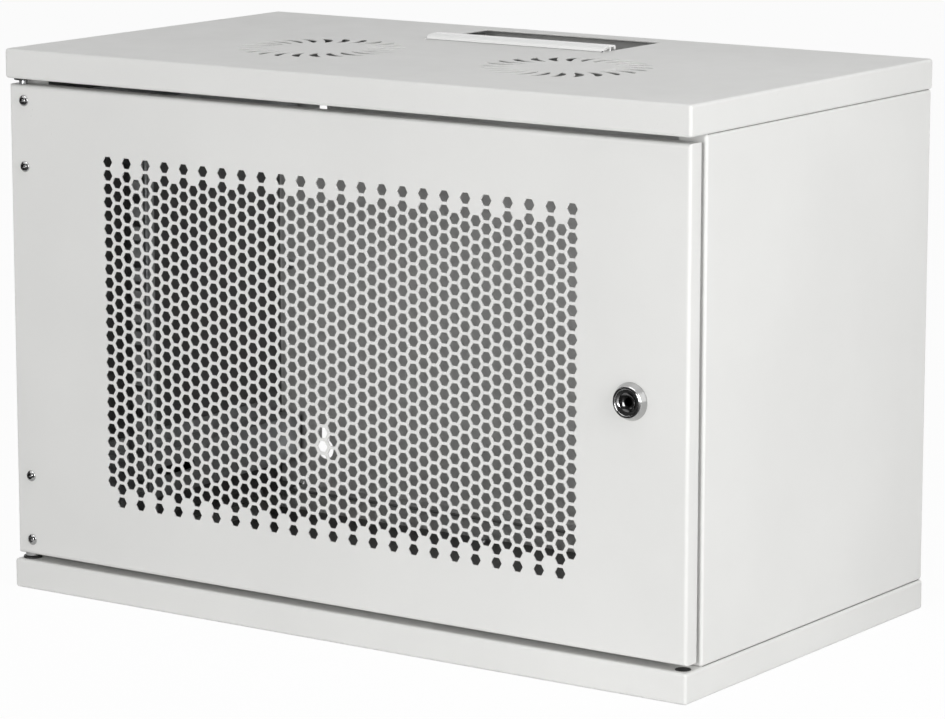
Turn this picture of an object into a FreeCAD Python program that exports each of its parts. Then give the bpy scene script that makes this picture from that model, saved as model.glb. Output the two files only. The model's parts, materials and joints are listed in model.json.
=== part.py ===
"""Wall mount network cabinet for 19-inch equipment, six units high.

The frame: X to the right as seen from the front, Y from front to back, Z up. The origin is the
middle of the footprint, on the surface that the cabinet stands on. All sizes are millimetres.
"""

import FreeCAD
import Part
import math
import os

# Whole cabinet, outside the roof and floor trays; its width follows from the rack, further down
DEPTH = 300.0
HEIGHT = 370.0

# Folded sheet steel
SHEET = 1.2
BEND = 2.2  # outside radius of a fold
HEAVY_SHEET = 1.5  # rack rails, rail supports and hinge brackets

# Roof and floor trays: folded down or up all round, with lips turned in
TRAY_HEIGHT = 20.0
FRONT_LIP = 32.0
SIDE_LIP = 21.0
REAR_LIP = 19.0

# Side panels: pans that stand between the two trays
SIDE_INSET = 0.8
SIDE_SETBACK = 19.5  # from the front of the trays to the front fold
SIDE_FLANGE = 20.0

# Back panel, inside the rear flanges of the side panels
BACK_FLANGE = 14.0
BACK_CLEARANCE = 2.0
KEYHOLE_FROM_SIDE = 42.5
KEYHOLE_LOW_Z = 50.0  # entry holes of the lower pair
KEYHOLE_HIGH_Z = 290.0
KEYHOLE_ENTRY_RADIUS = 7.5
KEYHOLE_SLOT_WIDTH = 7.5
KEYHOLE_RISE = 15.0  # from the entry hole up to the seat of the screw

# Door: a folded tray with lips turned in at the back
DOOR_SETBACK = 2.0
DOOR_SIDE_GAP = 1.5
DOOR_END_GAP = 4.0
DOOR_DEPTH = 14.5
DOOR_LIP = 7.0

# Perforated field of the door: columns of hexagons, every second one set lower
FIELD_SIDE_MARGIN = 84.5  # from the door's edge to the middle of the first column
FIELD_END_MARGIN = 46.2
FIELD_COLUMNS = 15  # an odd number
FIELD_ROWS = 8
HOLE_SHARE = 0.77  # a hole's width over its flats, as a share of the pitch of the rows
COLUMN_DROP = 1.5  # in rows, from one column's first hole to the next one's

# Fan grilles in the roof: rings of radial slots
FAN_SPACING = 196.5
FAN_FROM_FRONT = 124.0
FAN_SLOTS = 15
FAN_SLOT_WIDTH = 8.0
FAN_INNER_RADIUS = 32.0
FAN_OUTER_RADIUS = 56.0

# Cable entries in roof and floor
ENTRY_WIDTH = 144.0
ENTRY_DEPTH = 64.0
ENTRY_FROM_REAR = 19.0

# Sliding cover under the roof and the handle that is drawn through the entry
COVER_LENGTH = 46.0
COVER_SIDE_OVERLAP = 6.0
COVER_CLEARANCE = 0.3
COVER_TRAVEL = 60.0
HANDLE_DEPTH = 17.0
HANDLE_AHEAD = 10.2  # of its web
HANDLE_CROWN = 3.2
HANDLE_WALL = 1.4
HANDLE_WEB = 1.6
HANDLE_CROWN_RADIUS = 4.0
HANDLE_REAR_RADIUS = 1.2
HANDLE_INNER_RADIUS = 0.4
GUIDE_FOOT = 9.0

# Blanking plate on the floor's cable entry
BLANK_OVERLAP = 9.0

# Hinge: pins in flanged bushes, held in brackets behind the door
HINGE_FROM_SIDE = 8.0
HINGE_FROM_FRONT = 9.6
PIN_RADIUS = 2.97
PIN_RUNNING_GAP = 0.06
PIN_HOLE_GAP = 0.15  # in the door's folded edges and the brackets
PIN_REACH = 5.0  # past the tray's lip
PIN_TRAVEL = 8.0
PIN_COLLAR_RADIUS = 4.1
PIN_COLLAR = 2.0
LOWER_COLLAR_RADIUS = 4.8
LOWER_PIN_STUB = 14.0
PULL_ARM = 15.0
PULL_DROP = 9.0  # from the bracket down to the middle of the pull
BUSH_HOLE_RADIUS = 5.0
BUSH_FIT = 0.05
BUSH_FLANGE_RADIUS = 6.4
BUSH_FLANGE = 1.4
BUSH_LENGTH = 9.0
BRACKET_FROM_END = 3.5
BRACKET_HEIGHT = 58.0
BRACKET_WIDTH = 18.0
BRACKET_FROM_EDGE = 1.2  # off the inside of the door's folded side
BRACKET_EAR = 11.6
SPRING_WIRE = 1.0
SPRING_RADIUS = 3.9
SPRING_TURNS = 5
SPRING_FLATS = 8  # in a turn

# Domed screws through the door into the hinge brackets
HINGE_SCREW_FROM_EDGE = 13.0
HINGE_SCREW_FROM_END = 10.5
HINGE_SCREW_SPACING = 44.4
HINGE_SCREW_RADIUS = 1.95
DOME_RADIUS = 3.8
DOME_TOP_RADIUS = 2.1
DOME_HEIGHT = 2.0
DRIVE_RADIUS = 1.3
DRIVE_DEPTH = 1.5
DOME_SCREW_LENGTH = 4.2
SCREW_GAP = 0.15  # round a screw's shank in its hole

# Cam lock
LOCK_FROM_EDGE = 41.0
LOCK_FLANGE_RADIUS = 12.0
LOCK_FLANGE = 0.8
LOCK_RIM_RADIUS = 10.0
LOCK_PROJECTION = 5.5
LOCK_DISH_RADIUS = 8.2
LOCK_DISH = 1.6
LOCK_BARREL_RADIUS = 9.2
LOCK_HOLE_GAP = 0.15
PLUG_RADIUS = 6.2
PLUG_RUNNING_GAP = 0.05
PLUG_SQUARE = 7.0
KEY_SLOT_WIDTH = 1.8
KEY_SLOT_HEIGHT = 8.0
KEY_SLOT_DEPTH = 9.0
LOCK_NUT_FLATS = 24.0
LOCK_NUT = 4.0
CAM_SHEET = 2.0
CAM_WIDTH = 15.0
CAM_TIP_WIDTH = 11.0
CAM_LENGTH = 34.0
CAM_BEVEL = 3.0
CAM_CLEARANCE = 1.5
CAM_SCREW_RADIUS = 2.0
CAM_SCREW_HEAD_RADIUS = 4.6
CAM_SCREW_HEAD = 2.6
CAM_SCREW_DEPTH = 7.0

# 19-inch rack rails
RACK_UNIT = 44.45
RACK_UNITS = 6
RACK_OPENING = 450.0
RACK_HOLE_FROM_OPENING = 7.55
RACK_HOLE_SIZE = 9.5
RACK_HOLES_IN_UNIT = (6.35, 22.225, 38.1)
RAIL_FROM_FRONT = 92.0
RAIL_FACE_WIDTH = 21.0
RAIL_WEB_DEPTH = 30.0
RAIL_RETURN = 8.0
RAIL_END_MARGIN = 11.65  # from the outer units to the rail's ends

# Rail supports: hat sections along the side panels
SUPPORT_FROM_RAIL_END = 20.0
SUPPORT_DEPTH = 22.0  # from the side panel to the rail
SUPPORT_HEIGHT = 30.0
SUPPORT_FOOT = 10.0
SUPPORT_END_GAP = 6.0
SUPPORT_SLOT = 70.0
RAIL_BOLT_FROM_FACE = 15.0

# Fasteners
BOLT_RADIUS = 2.95
BOLT_GAP = 0.35
BOLT_HEAD_RADIUS = 5.2
BOLT_HEAD = 3.4
NUT_FLATS = 10.0
NUT = 5.0
NUT_THREAD_GAP = 0.05
BOLT_TAIL = 2.0
SCREW_RADIUS = 2.0
SCREW_HEAD_RADIUS = 4.0
SCREW_HEAD = 2.2
SCREW_TAIL = 3.0
PANEL_SCREW_FROM_ENDS = 45.0
BACK_SCREW_ROWS = 3
BACK_SCREW_FROM_ENDS = 40.0
STUD_RADIUS = 2.95
STUD_LENGTH = 18.0
STUD_FROM_FRONT = 70.0
STUD_FROM_SIDE = 60.0

# Flats that stand for a round surface
SMALL_SIDES = 6  # screws and the holes that they pass
ROUND_SIDES = 12  # heads, bushes, collars
LOCK_SIDES = 16
SLOT_END_SIDES = 4

# Planes and lines that the pieces share
WIDTH = RACK_OPENING + 2 * (RAIL_FACE_WIDTH + SUPPORT_DEPTH + SHEET + SIDE_INSET)
LEFT = -WIDTH / 2
RIGHT = WIDTH / 2
FRONT = -DEPTH / 2
REAR = DEPTH / 2
FLOOR_LIP_TOP = TRAY_HEIGHT
ROOF_LIP_UNDER = HEIGHT - TRAY_HEIGHT
ROOF_UNDER = HEIGHT - SHEET
MIDDLE_Z = HEIGHT / 2
SIDE_INNER = LEFT + SIDE_INSET + SHEET
SIDE_FRONT = FRONT + SIDE_SETBACK
SIDE_FLANGE_X = LEFT + SIDE_INSET + SIDE_FLANGE
BACK_INNER = REAR - 2 * SHEET

DOOR_LEFT = LEFT + DOOR_SIDE_GAP
DOOR_RIGHT = RIGHT - DOOR_SIDE_GAP
DOOR_LOW = FLOOR_LIP_TOP + DOOR_END_GAP
DOOR_HIGH = ROOF_LIP_UNDER - DOOR_END_GAP
DOOR_FRONT = FRONT + DOOR_SETBACK
DOOR_REAR = DOOR_FRONT + DOOR_DEPTH
DOOR_SKIN_BACK = DOOR_FRONT + SHEET

HINGE_X = LEFT + HINGE_FROM_SIDE
HINGE_Y = FRONT + HINGE_FROM_FRONT
HINGE_SCREW_X = DOOR_LEFT + HINGE_SCREW_FROM_EDGE
PIN_HOLE_RADIUS = (PIN_RADIUS + PIN_HOLE_GAP) / math.cos(math.pi / ROUND_SIDES)  # at its corners
UPPER_BRACKET_TOP = DOOR_HIGH - BRACKET_FROM_END
UPPER_BRACKET_LOW = UPPER_BRACKET_TOP - BRACKET_HEIGHT
LOWER_BRACKET_LOW = DOOR_LOW + BRACKET_FROM_END

LOCK_X = DOOR_RIGHT - LOCK_FROM_EDGE
CAM_FRONT = SIDE_FRONT + SHEET + CAM_CLEARANCE
CAM_BACK = CAM_FRONT + CAM_SHEET

ENTRY_REAR = REAR - ENTRY_FROM_REAR
ENTRY_FRONT = ENTRY_REAR - ENTRY_DEPTH
COVER_TOP = ROOF_UNDER - COVER_CLEARANCE
COVER_LOW = COVER_TOP - SHEET
COVER_HALF_WIDTH = ENTRY_WIDTH / 2 + COVER_SIDE_OVERLAP
HANDLE_WEB_FRONT = ENTRY_FRONT + COVER_CLEARANCE

RAIL_FACE = FRONT + RAIL_FROM_FRONT
RAIL_LENGTH = RACK_UNITS * RACK_UNIT + 2 * RAIL_END_MARGIN
RAIL_LOW = MIDDLE_Z - RAIL_LENGTH / 2
RAIL_HIGH = MIDDLE_Z + RAIL_LENGTH / 2
RAIL_INNER_X = -RACK_OPENING / 2
RAIL_OUTER_X = RAIL_INNER_X - RAIL_FACE_WIDTH
RACK_HOLE_X = RAIL_INNER_X - RACK_HOLE_FROM_OPENING
RAIL_BOLT_Y = RAIL_FACE + RAIL_BOLT_FROM_FACE
SUPPORT_LEVELS = {"lower": RAIL_LOW + SUPPORT_FROM_RAIL_END, "upper": RAIL_HIGH - SUPPORT_FROM_RAIL_END}

AXIS_X = FreeCAD.Vector(1, 0, 0)
AXIS_Y = FreeCAD.Vector(0, 1, 0)
AXIS_Z = FreeCAD.Vector(0, 0, 1)
CUT_PAST = 5.0  # how far a cutting solid runs past the sheet it cuts


def point(x, y, z):
    return FreeCAD.Vector(x, y, z)


def block(low, high):
    """The box between two opposite corners."""
    return Part.makeBox(high[0] - low[0], high[1] - low[1], high[2] - low[2], point(*low))


def rod(radius, start, axis, length):
    """A cylinder from a start point, along an axis."""
    return Part.makeCylinder(radius, length, start, axis)


def closed_solid(faces):
    """The solid inside a closed set of flat faces."""
    return Part.makeSolid(Part.makeShell(faces)).removeSplitter()


def flat_face(corners):
    return Part.Face(Part.makePolygon(corners + corners[:1]))


def polygon(sides, radius, centre, axis):
    """The corners of a regular polygon, square to an axis."""
    across = AXIS_Y if abs(axis.x) > 0 else AXIS_X
    up = axis.cross(across)
    angles = [2 * math.pi * step / sides for step in range(sides)]
    return [centre + across * (radius * math.cos(a)) + up * (radius * math.sin(a)) for a in angles]


def prism(sides, radius, start, axis, length):
    """A rod with flat sides, whose corners lie on the radius."""
    return flat_face(polygon(sides, radius, start, axis)).extrude(axis * length)


def over_flats(sides, radius):
    """The corner radius of a polygon whose flats touch a circle."""
    return radius / math.cos(math.pi / sides)


def turned(profile, sides, centre, axis):
    """Turn (radius, height) points round an axis, with flats for the round surface.

    The heights run along the axis from the centre. Seen with the radius to the right and the
    height upwards, the points go round anticlockwise.
    """
    rings = [polygon(sides, radius, centre + axis * height, axis) for radius, height in profile]
    faces = []
    for index, ring in enumerate(rings):
        following = rings[(index + 1) % len(rings)]
        for step in range(sides):
            corners = [ring[step - 1], ring[step], following[step], following[step - 1]]
            corners = [c for i, c in enumerate(corners) if c.distanceToPoint(corners[i - 1]) > 0.001]
            if len(corners) > 2:
                faces.append(flat_face(corners))
    return closed_solid(faces)


def mirrored(shape):
    """The same piece on the other side of the cabinet."""
    return shape.mirror(point(0, 0, 0), AXIS_X)


def both_sides(shapes):
    """The left-hand solids together with their mirror images."""
    return list(shapes) + [mirrored(shape) for shape in shapes]


def rounded_wire(points, radii):
    """A closed wire through the points, with each corner rounded to its radius; 0 leaves it sharp."""
    corners = []
    for index, corner in enumerate(points):
        before = (points[index - 1] - corner).normalize()
        after = (points[(index + 1) % len(points)] - corner).normalize()
        half = before.getAngle(after) / 2
        reach = radii[index] / math.tan(half)
        middle = corner + (before + after).normalize() * (radii[index] / math.sin(half) - radii[index])
        corners.append((corner + before * reach, middle, corner + after * reach))
    edges = []
    for index, (start, middle, end) in enumerate(corners):
        if radii[index] > 0:
            edges.append(Part.Arc(start, middle, end).toShape())
        edges.append(Part.LineSegment(end, corners[(index + 1) % len(corners)][0]).toShape())
    return Part.Wire(edges)


def folded_strip(points, normal, sheet, run, bend=0.0):
    """Sheet bent along a path of square turns and extruded by the vector run.

    The sheet lies on the side of the path that normal x direction points to. The folds of small
    strips stay sharp, with no bend radius.
    """
    inner_bend = max(bend - sheet, 0.0)
    directions = [(points[i + 1] - points[i]).normalize() for i in range(len(points) - 1)]
    offsets = [normal.cross(direction) * sheet for direction in directions]
    near_radii = [0.0]
    far_radii = [0.0]
    far = [points[0] + offsets[0]]
    for index in range(1, len(points) - 1):
        turns_to_sheet = directions[index].dot(offsets[index - 1]) > 0
        near_radii.append(bend if turns_to_sheet else inner_bend)
        far_radii.append(inner_bend if turns_to_sheet else bend)
        far.append(points[index] + offsets[index - 1] + offsets[index])
    near_radii.append(0.0)
    far_radii.append(0.0)
    far.append(points[-1] + offsets[-1])
    wire = rounded_wire(points + far[::-1], near_radii + far_radii[::-1])
    return Part.Face(wire).extrude(run)


def folded_block(low, high, axis, folded_ends, radius):
    """A box whose edges round the folded ends are rounded; its other edges stay mitred."""
    solid = block(low, high)
    folds = []
    for edge in solid.Edges:
        ends = [vertex.Point[axis] for vertex in edge.Vertexes]
        if any(max(abs(end - at) for end in ends) < 0.001 for at in folded_ends):
            folds.append(edge)
    return solid.makeFillet(radius, folds)


def folded_pan(low, high, axis, closed, window=None):
    """A sheet pan, closed at one end of the axis.

    Without a window the other end is open; with one, it has lips round the window.
    """
    open_index = 0 if closed == high[axis] else 1
    inner = [[value + SHEET for value in low], [value - SHEET for value in high]]
    outer_folds = [closed]
    if window is None:
        inner[open_index][axis] += CUT_PAST * (-1 if open_index == 0 else 1)
    else:
        outer_folds = [low[axis], high[axis]]
    inner_folds = [inner[0][axis], inner[1][axis]]
    if window is None:
        inner_folds = [inner[1 - open_index][axis]]
    outer = folded_block(low, high, axis, outer_folds, BEND)
    shell = outer.cut(folded_block(inner[0], inner[1], axis, inner_folds, BEND - SHEET))
    return shell if window is None else shell.cut(window)


def slot_cutter(centre, width, length, along, through):
    """A slot with rounded ends about its centre, cut both ways along the through axis."""
    half = (length - width) / 2
    across = through.cross(along)
    corners = []
    for end in (1, -1):
        for step in range(SLOT_END_SIDES + 1):
            angle = math.pi * (step / SLOT_END_SIDES - 0.5)
            ahead = half + width / 2 * math.cos(angle)
            aside = width / 2 * math.sin(angle)
            corners.append(centre - through * CUT_PAST + along * (end * ahead) + across * (end * aside))
    return flat_face(corners).extrude(through * (2 * CUT_PAST))


def screw_hole(screw_radius, sheet_point, axis):
    """The cutting solid for a small screw's clearance hole through one or two sheets."""
    start = sheet_point - axis * CUT_PAST
    return prism(SMALL_SIDES, screw_radius + SCREW_GAP, start, axis, 2 * CUT_PAST)


# Fastener positions that two pieces share
def panel_screw_places():
    """(x, y) of the screws that hold the left side panel to the lips of a tray."""
    x = (SIDE_INNER + SIDE_FLANGE_X) / 2
    return [(x, SIDE_FRONT + PANEL_SCREW_FROM_ENDS), (x, REAR - PANEL_SCREW_FROM_ENDS)]


def back_screw_places():
    """(x, z) of the screws that hold the back panel to the left side panel."""
    x = (SIDE_INNER + SIDE_FLANGE_X) / 2
    first = FLOOR_LIP_TOP + BACK_SCREW_FROM_ENDS
    step = (ROOF_LIP_UNDER - FLOOR_LIP_TOP - 2 * BACK_SCREW_FROM_ENDS) / (BACK_SCREW_ROWS - 1)
    return [(x, first + step * row) for row in range(BACK_SCREW_ROWS)]


def blank_screw_places():
    """(x, y) of the screws that hold the blanking plate to the floor."""
    reach_x = (ENTRY_WIDTH + BLANK_OVERLAP) / 2
    reach_y = (ENTRY_DEPTH + BLANK_OVERLAP) / 2
    middle_y = (ENTRY_FRONT + ENTRY_REAR) / 2
    return [(sx * reach_x, middle_y + sy * reach_y) for sx in (-1, 1) for sy in (-1, 1)]


def hinge_screw_levels():
    """Heights of the four screws through the door, lower pair first."""
    low = DOOR_LOW + HINGE_SCREW_FROM_END
    high = DOOR_HIGH - HINGE_SCREW_FROM_END
    return [low, low + HINGE_SCREW_SPACING, high - HINGE_SCREW_SPACING, high]


def hinge_screw_holes(low_z, high_z):
    """Cutting solids for the hinge screws between two heights, through door and bracket."""
    places = [point(HINGE_SCREW_X, DOOR_SKIN_BACK, z) for z in hinge_screw_levels() if low_z < z < high_z]
    return [screw_hole(HINGE_SCREW_RADIUS, place, AXIS_Y) for place in places]


def tray(low_z, high_z, closed, lip_z):
    """A roof or floor tray with lips, hinge holes at both sides and its cable entry."""
    window = block(
        (LEFT + SIDE_LIP, FRONT + FRONT_LIP, lip_z - CUT_PAST),
        (RIGHT - SIDE_LIP, REAR - REAR_LIP, lip_z + CUT_PAST),
    )
    shell = folded_pan((LEFT, FRONT, low_z), (RIGHT, REAR, high_z), 2, closed, window)
    cutters = [
        block(
            (-ENTRY_WIDTH / 2, ENTRY_FRONT, closed - CUT_PAST),
            (ENTRY_WIDTH / 2, ENTRY_REAR, closed + CUT_PAST),
        )
    ]
    lip_start = point(HINGE_X, HINGE_Y, lip_z - CUT_PAST)
    lip_holes = [rod(BUSH_HOLE_RADIUS, lip_start, AXIS_Z, 2 * CUT_PAST)]
    lip_holes += [screw_hole(SCREW_RADIUS, point(x, y, lip_z), AXIS_Z) for x, y in panel_screw_places()]
    return shell.cut(cutters + both_sides(lip_holes))


def fan_slots(centre_x):
    """The radial slots of one fan grille, as cutting solids through the roof."""
    length = FAN_OUTER_RADIUS - FAN_INNER_RADIUS
    cutters = []
    for index in range(FAN_SLOTS):
        slot = block(
            (FAN_INNER_RADIUS, -FAN_SLOT_WIDTH / 2, ROOF_UNDER - CUT_PAST),
            (FAN_INNER_RADIUS + length, FAN_SLOT_WIDTH / 2, HEIGHT + CUT_PAST),
        )
        slot.rotate(point(0, 0, 0), AXIS_Z, 360.0 * index / FAN_SLOTS)
        slot.translate(point(centre_x, FRONT + FAN_FROM_FRONT, 0))
        cutters.append(slot)
    return cutters


def roof():
    shell = tray(ROOF_LIP_UNDER, HEIGHT, HEIGHT, ROOF_LIP_UNDER)
    return shell.cut(fan_slots(-FAN_SPACING / 2) + fan_slots(FAN_SPACING / 2))


def floor():
    shell = tray(0.0, FLOOR_LIP_TOP, 0.0, FLOOR_LIP_TOP)
    return shell.cut([screw_hole(SCREW_RADIUS, point(x, y, 0), AXIS_Z) for x, y in blank_screw_places()])


def left_side_panel():
    """A pan open to the inside: the wall with flanges at front, back, top and bottom."""
    low = (LEFT + SIDE_INSET, SIDE_FRONT, FLOOR_LIP_TOP)
    high = (SIDE_FLANGE_X, REAR, ROOF_LIP_UNDER)
    holes = [screw_hole(SCREW_RADIUS, point(x, REAR, z), AXIS_Y) for x, z in back_screw_places()]
    for x, y in panel_screw_places():
        for z in (FLOOR_LIP_TOP, ROOF_LIP_UNDER):
            holes.append(screw_hole(SCREW_RADIUS, point(x, y, z), AXIS_Z))
    return folded_pan(low, high, 0, low[0]).cut(holes)


def keyhole(x, z):
    """Entry hole with a slot rising from it, ending in the seat of the wall screw."""
    entry = rod(KEYHOLE_ENTRY_RADIUS, point(x, REAR - CUT_PAST, z), AXIS_Y, 2 * CUT_PAST)
    slot_centre = point(x, REAR, z + KEYHOLE_RISE / 2)
    slot_length = KEYHOLE_RISE + KEYHOLE_SLOT_WIDTH
    return entry.fuse(slot_cutter(slot_centre, KEYHOLE_SLOT_WIDTH, slot_length, AXIS_Z, AXIS_Y))


def back_panel():
    """A sheet behind the rails, with flanges turned forward on the lips of both trays."""
    half_width = RIGHT - SIDE_INSET - SHEET - BACK_CLEARANCE
    inner_half = -SIDE_FLANGE_X - BACK_CLEARANCE
    plate = block(
        (-half_width, BACK_INNER, FLOOR_LIP_TOP + SHEET + BACK_CLEARANCE),
        (half_width, BACK_INNER + SHEET, ROOF_LIP_UNDER - SHEET - BACK_CLEARANCE),
    )
    flange_front = BACK_INNER + SHEET - BACK_FLANGE
    path = [
        point(-inner_half, flange_front, FLOOR_LIP_TOP),
        point(-inner_half, BACK_INNER + SHEET, FLOOR_LIP_TOP),
        point(-inner_half, BACK_INNER + SHEET, ROOF_LIP_UNDER),
        point(-inner_half, flange_front, ROOF_LIP_UNDER),
    ]
    channel = folded_strip(path, AXIS_X, SHEET, AXIS_X * (2 * inner_half), BEND)
    panel = plate.fuse(channel).removeSplitter()
    cutters = [keyhole(LEFT + KEYHOLE_FROM_SIDE, z) for z in (KEYHOLE_LOW_Z, KEYHOLE_HIGH_Z)]
    cutters += [screw_hole(SCREW_RADIUS, point(x, REAR, z), AXIS_Y) for x, z in back_screw_places()]
    return panel.cut(both_sides(cutters))


def perforation():
    """Cutting solids for the field of hexagons, columns from left to right."""
    first_x = DOOR_LEFT + FIELD_SIDE_MARGIN
    pitch_x = (DOOR_RIGHT - DOOR_LEFT - 2 * FIELD_SIDE_MARGIN) / (FIELD_COLUMNS - 1)
    first_z = DOOR_HIGH - FIELD_END_MARGIN
    pitch_z = (DOOR_HIGH - DOOR_LOW - 2 * FIELD_END_MARGIN) / (FIELD_ROWS - 1 + COLUMN_DROP)
    radius = over_flats(6, HOLE_SHARE * pitch_z / 2)
    cutters = []
    for column in range(FIELD_COLUMNS):
        drop = COLUMN_DROP * (column % 2)
        for row in range(FIELD_ROWS):
            z = first_z - (row + drop) * pitch_z
            start = point(first_x + column * pitch_x, DOOR_FRONT - CUT_PAST, z)
            cutters.append(prism(6, radius, start, AXIS_Y, 2 * CUT_PAST))
    return cutters


def door_panel():
    """The folded door: front skin, four returns, lips at the back, all its holes."""
    window = block(
        (DOOR_LEFT + DOOR_LIP, DOOR_REAR - CUT_PAST, DOOR_LOW + DOOR_LIP),
        (DOOR_RIGHT - DOOR_LIP, DOOR_REAR + CUT_PAST, DOOR_HIGH - DOOR_LIP),
    )
    low = (DOOR_LEFT, DOOR_FRONT, DOOR_LOW)
    high = (DOOR_RIGHT, DOOR_REAR, DOOR_HIGH)
    pan = folded_pan(low, high, 1, DOOR_FRONT, window)
    holes = hinge_screw_holes(DOOR_LOW, DOOR_HIGH)
    for z in (DOOR_LOW, DOOR_HIGH):
        start = point(HINGE_X, HINGE_Y, z - CUT_PAST)
        holes.append(prism(ROUND_SIDES, PIN_HOLE_RADIUS, start, AXIS_Z, 2 * CUT_PAST))
    lock_start = point(LOCK_X, DOOR_FRONT - CUT_PAST, MIDDLE_Z)
    lock_radius = LOCK_BARREL_RADIUS + LOCK_HOLE_GAP
    holes.append(prism(LOCK_SIDES, lock_radius, lock_start, AXIS_Y, 2 * CUT_PAST))
    return pan.cut(holes + perforation())


def hinge_bracket(low_z):
    """A U of heavy sheet on the back of the door: its ears carry the hinge pin."""
    left = DOOR_LEFT + SHEET + BRACKET_FROM_EDGE
    high_z = low_z + BRACKET_HEIGHT
    ear_end = DOOR_SKIN_BACK + BRACKET_EAR
    path = [
        point(left, ear_end, low_z),
        point(left, DOOR_SKIN_BACK, low_z),
        point(left, DOOR_SKIN_BACK, high_z),
        point(left, ear_end, high_z),
    ]
    bracket = folded_strip(path, -AXIS_X, HEAVY_SHEET, AXIS_X * BRACKET_WIDTH)
    start = point(HINGE_X, HINGE_Y, low_z - CUT_PAST)
    pin_hole = prism(ROUND_SIDES, PIN_HOLE_RADIUS, start, AXIS_Z, BRACKET_HEIGHT + 2 * CUT_PAST)
    return bracket.cut([pin_hole] + hinge_screw_holes(low_z, high_z))


def hinge_bush(lip_face, outward):
    """A flanged plastic bush in the lip; outward points from the door into the tray."""
    bore = over_flats(ROUND_SIDES, PIN_RADIUS + PIN_RUNNING_GAP)
    barrel = BUSH_HOLE_RADIUS - BUSH_FIT
    profile = [
        (bore, -BUSH_FLANGE),
        (BUSH_FLANGE_RADIUS, -BUSH_FLANGE),
        (BUSH_FLANGE_RADIUS, 0.0),
        (barrel, 0.0),
        (barrel, BUSH_LENGTH - BUSH_FLANGE),
        (bore, BUSH_LENGTH - BUSH_FLANGE),
    ]
    return turned(profile, ROUND_SIDES, point(HINGE_X, HINGE_Y, lip_face), outward)


def lower_hinge_pin():
    """A fixed pin: round in the bush, with a bright collar under the door and a stub inside it."""
    collar_low = BUSH_FLANGE + PIN_RUNNING_GAP
    profile = [
        (0.0, collar_low),
        (LOWER_COLLAR_RADIUS, collar_low),
        (LOWER_COLLAR_RADIUS, DOOR_END_GAP),
        (PIN_RADIUS, DOOR_END_GAP),
        (PIN_RADIUS, DOOR_END_GAP + LOWER_PIN_STUB),
        (0.0, DOOR_END_GAP + LOWER_PIN_STUB),
    ]
    head = turned(profile, ROUND_SIDES, point(HINGE_X, HINGE_Y, FLOOR_LIP_TOP), AXIS_Z)
    start = point(HINGE_X, HINGE_Y, FLOOR_LIP_TOP - PIN_REACH)
    return head.fuse(rod(PIN_RADIUS, start, AXIS_Z, PIN_REACH + collar_low))


def upper_hinge_pin():
    """A sliding pin: its collar stops under the upper ear, its lower end carries the pull."""
    collar_top = UPPER_BRACKET_TOP - HEAVY_SHEET
    low = UPPER_BRACKET_LOW - PULL_DROP
    profile = [
        (0.0, low),
        (PIN_RADIUS, low),
        (PIN_RADIUS, collar_top - PIN_COLLAR),
        (PIN_COLLAR_RADIUS, collar_top - PIN_COLLAR),
        (PIN_COLLAR_RADIUS, collar_top),
        (0.0, collar_top),
    ]
    stem = turned(profile, ROUND_SIDES, point(HINGE_X, HINGE_Y, 0), AXIS_Z)
    tip_length = ROOF_LIP_UNDER + PIN_REACH - collar_top
    tip = rod(PIN_RADIUS, point(HINGE_X, HINGE_Y, collar_top), AXIS_Z, tip_length)
    arm = prism(ROUND_SIDES, PIN_RADIUS, point(HINGE_X - PIN_RADIUS, HINGE_Y, low), AXIS_X, PULL_ARM)
    return stem.fuse([tip, arm])


def upper_hinge_spring():
    """The coil that pushes the pin's collar up, away from the lower ear; its wire is square."""
    low = UPPER_BRACKET_LOW + HEAVY_SHEET + SPRING_WIRE / 2
    high = UPPER_BRACKET_TOP - HEAVY_SHEET - PIN_COLLAR - SPRING_WIRE / 2
    steps = SPRING_TURNS * SPRING_FLATS
    sections = []
    for step in range(steps + 1):
        angle = 2 * math.pi * step / SPRING_FLATS
        outward = point(math.cos(angle), math.sin(angle), 0)
        middle = point(HINGE_X, HINGE_Y, low + (high - low) * step / steps) + outward * SPRING_RADIUS
        section = []
        for out, up in ((-1, -1), (1, -1), (1, 1), (-1, 1)):
            section.append(middle + (outward * out + AXIS_Z * up) * (SPRING_WIRE / 2))
        sections.append(section)
    faces = [flat_face(sections[0]), flat_face(sections[-1][::-1])]
    for near, far in zip(sections, sections[1:]):
        for corner in range(4):
            faces.append(flat_face([near[corner], near[corner - 1], far[corner - 1]]))
            faces.append(flat_face([near[corner], far[corner - 1], far[corner]]))
    return closed_solid(faces)


def dome_screw(z):
    """A domed screw from the front of the door into a hinge bracket."""
    profile = [
        (0.0, DRIVE_DEPTH - DOME_HEIGHT),
        (DRIVE_RADIUS, DRIVE_DEPTH - DOME_HEIGHT),
        (DRIVE_RADIUS, -DOME_HEIGHT),
        (DOME_TOP_RADIUS, -DOME_HEIGHT),
        (DOME_RADIUS, 0.0),
        (HINGE_SCREW_RADIUS, 0.0),
        (HINGE_SCREW_RADIUS, DOME_SCREW_LENGTH),
        (0.0, DOME_SCREW_LENGTH),
    ]
    return turned(profile, SMALL_SIDES, point(HINGE_SCREW_X, DOOR_FRONT, z), AXIS_Y)


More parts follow.
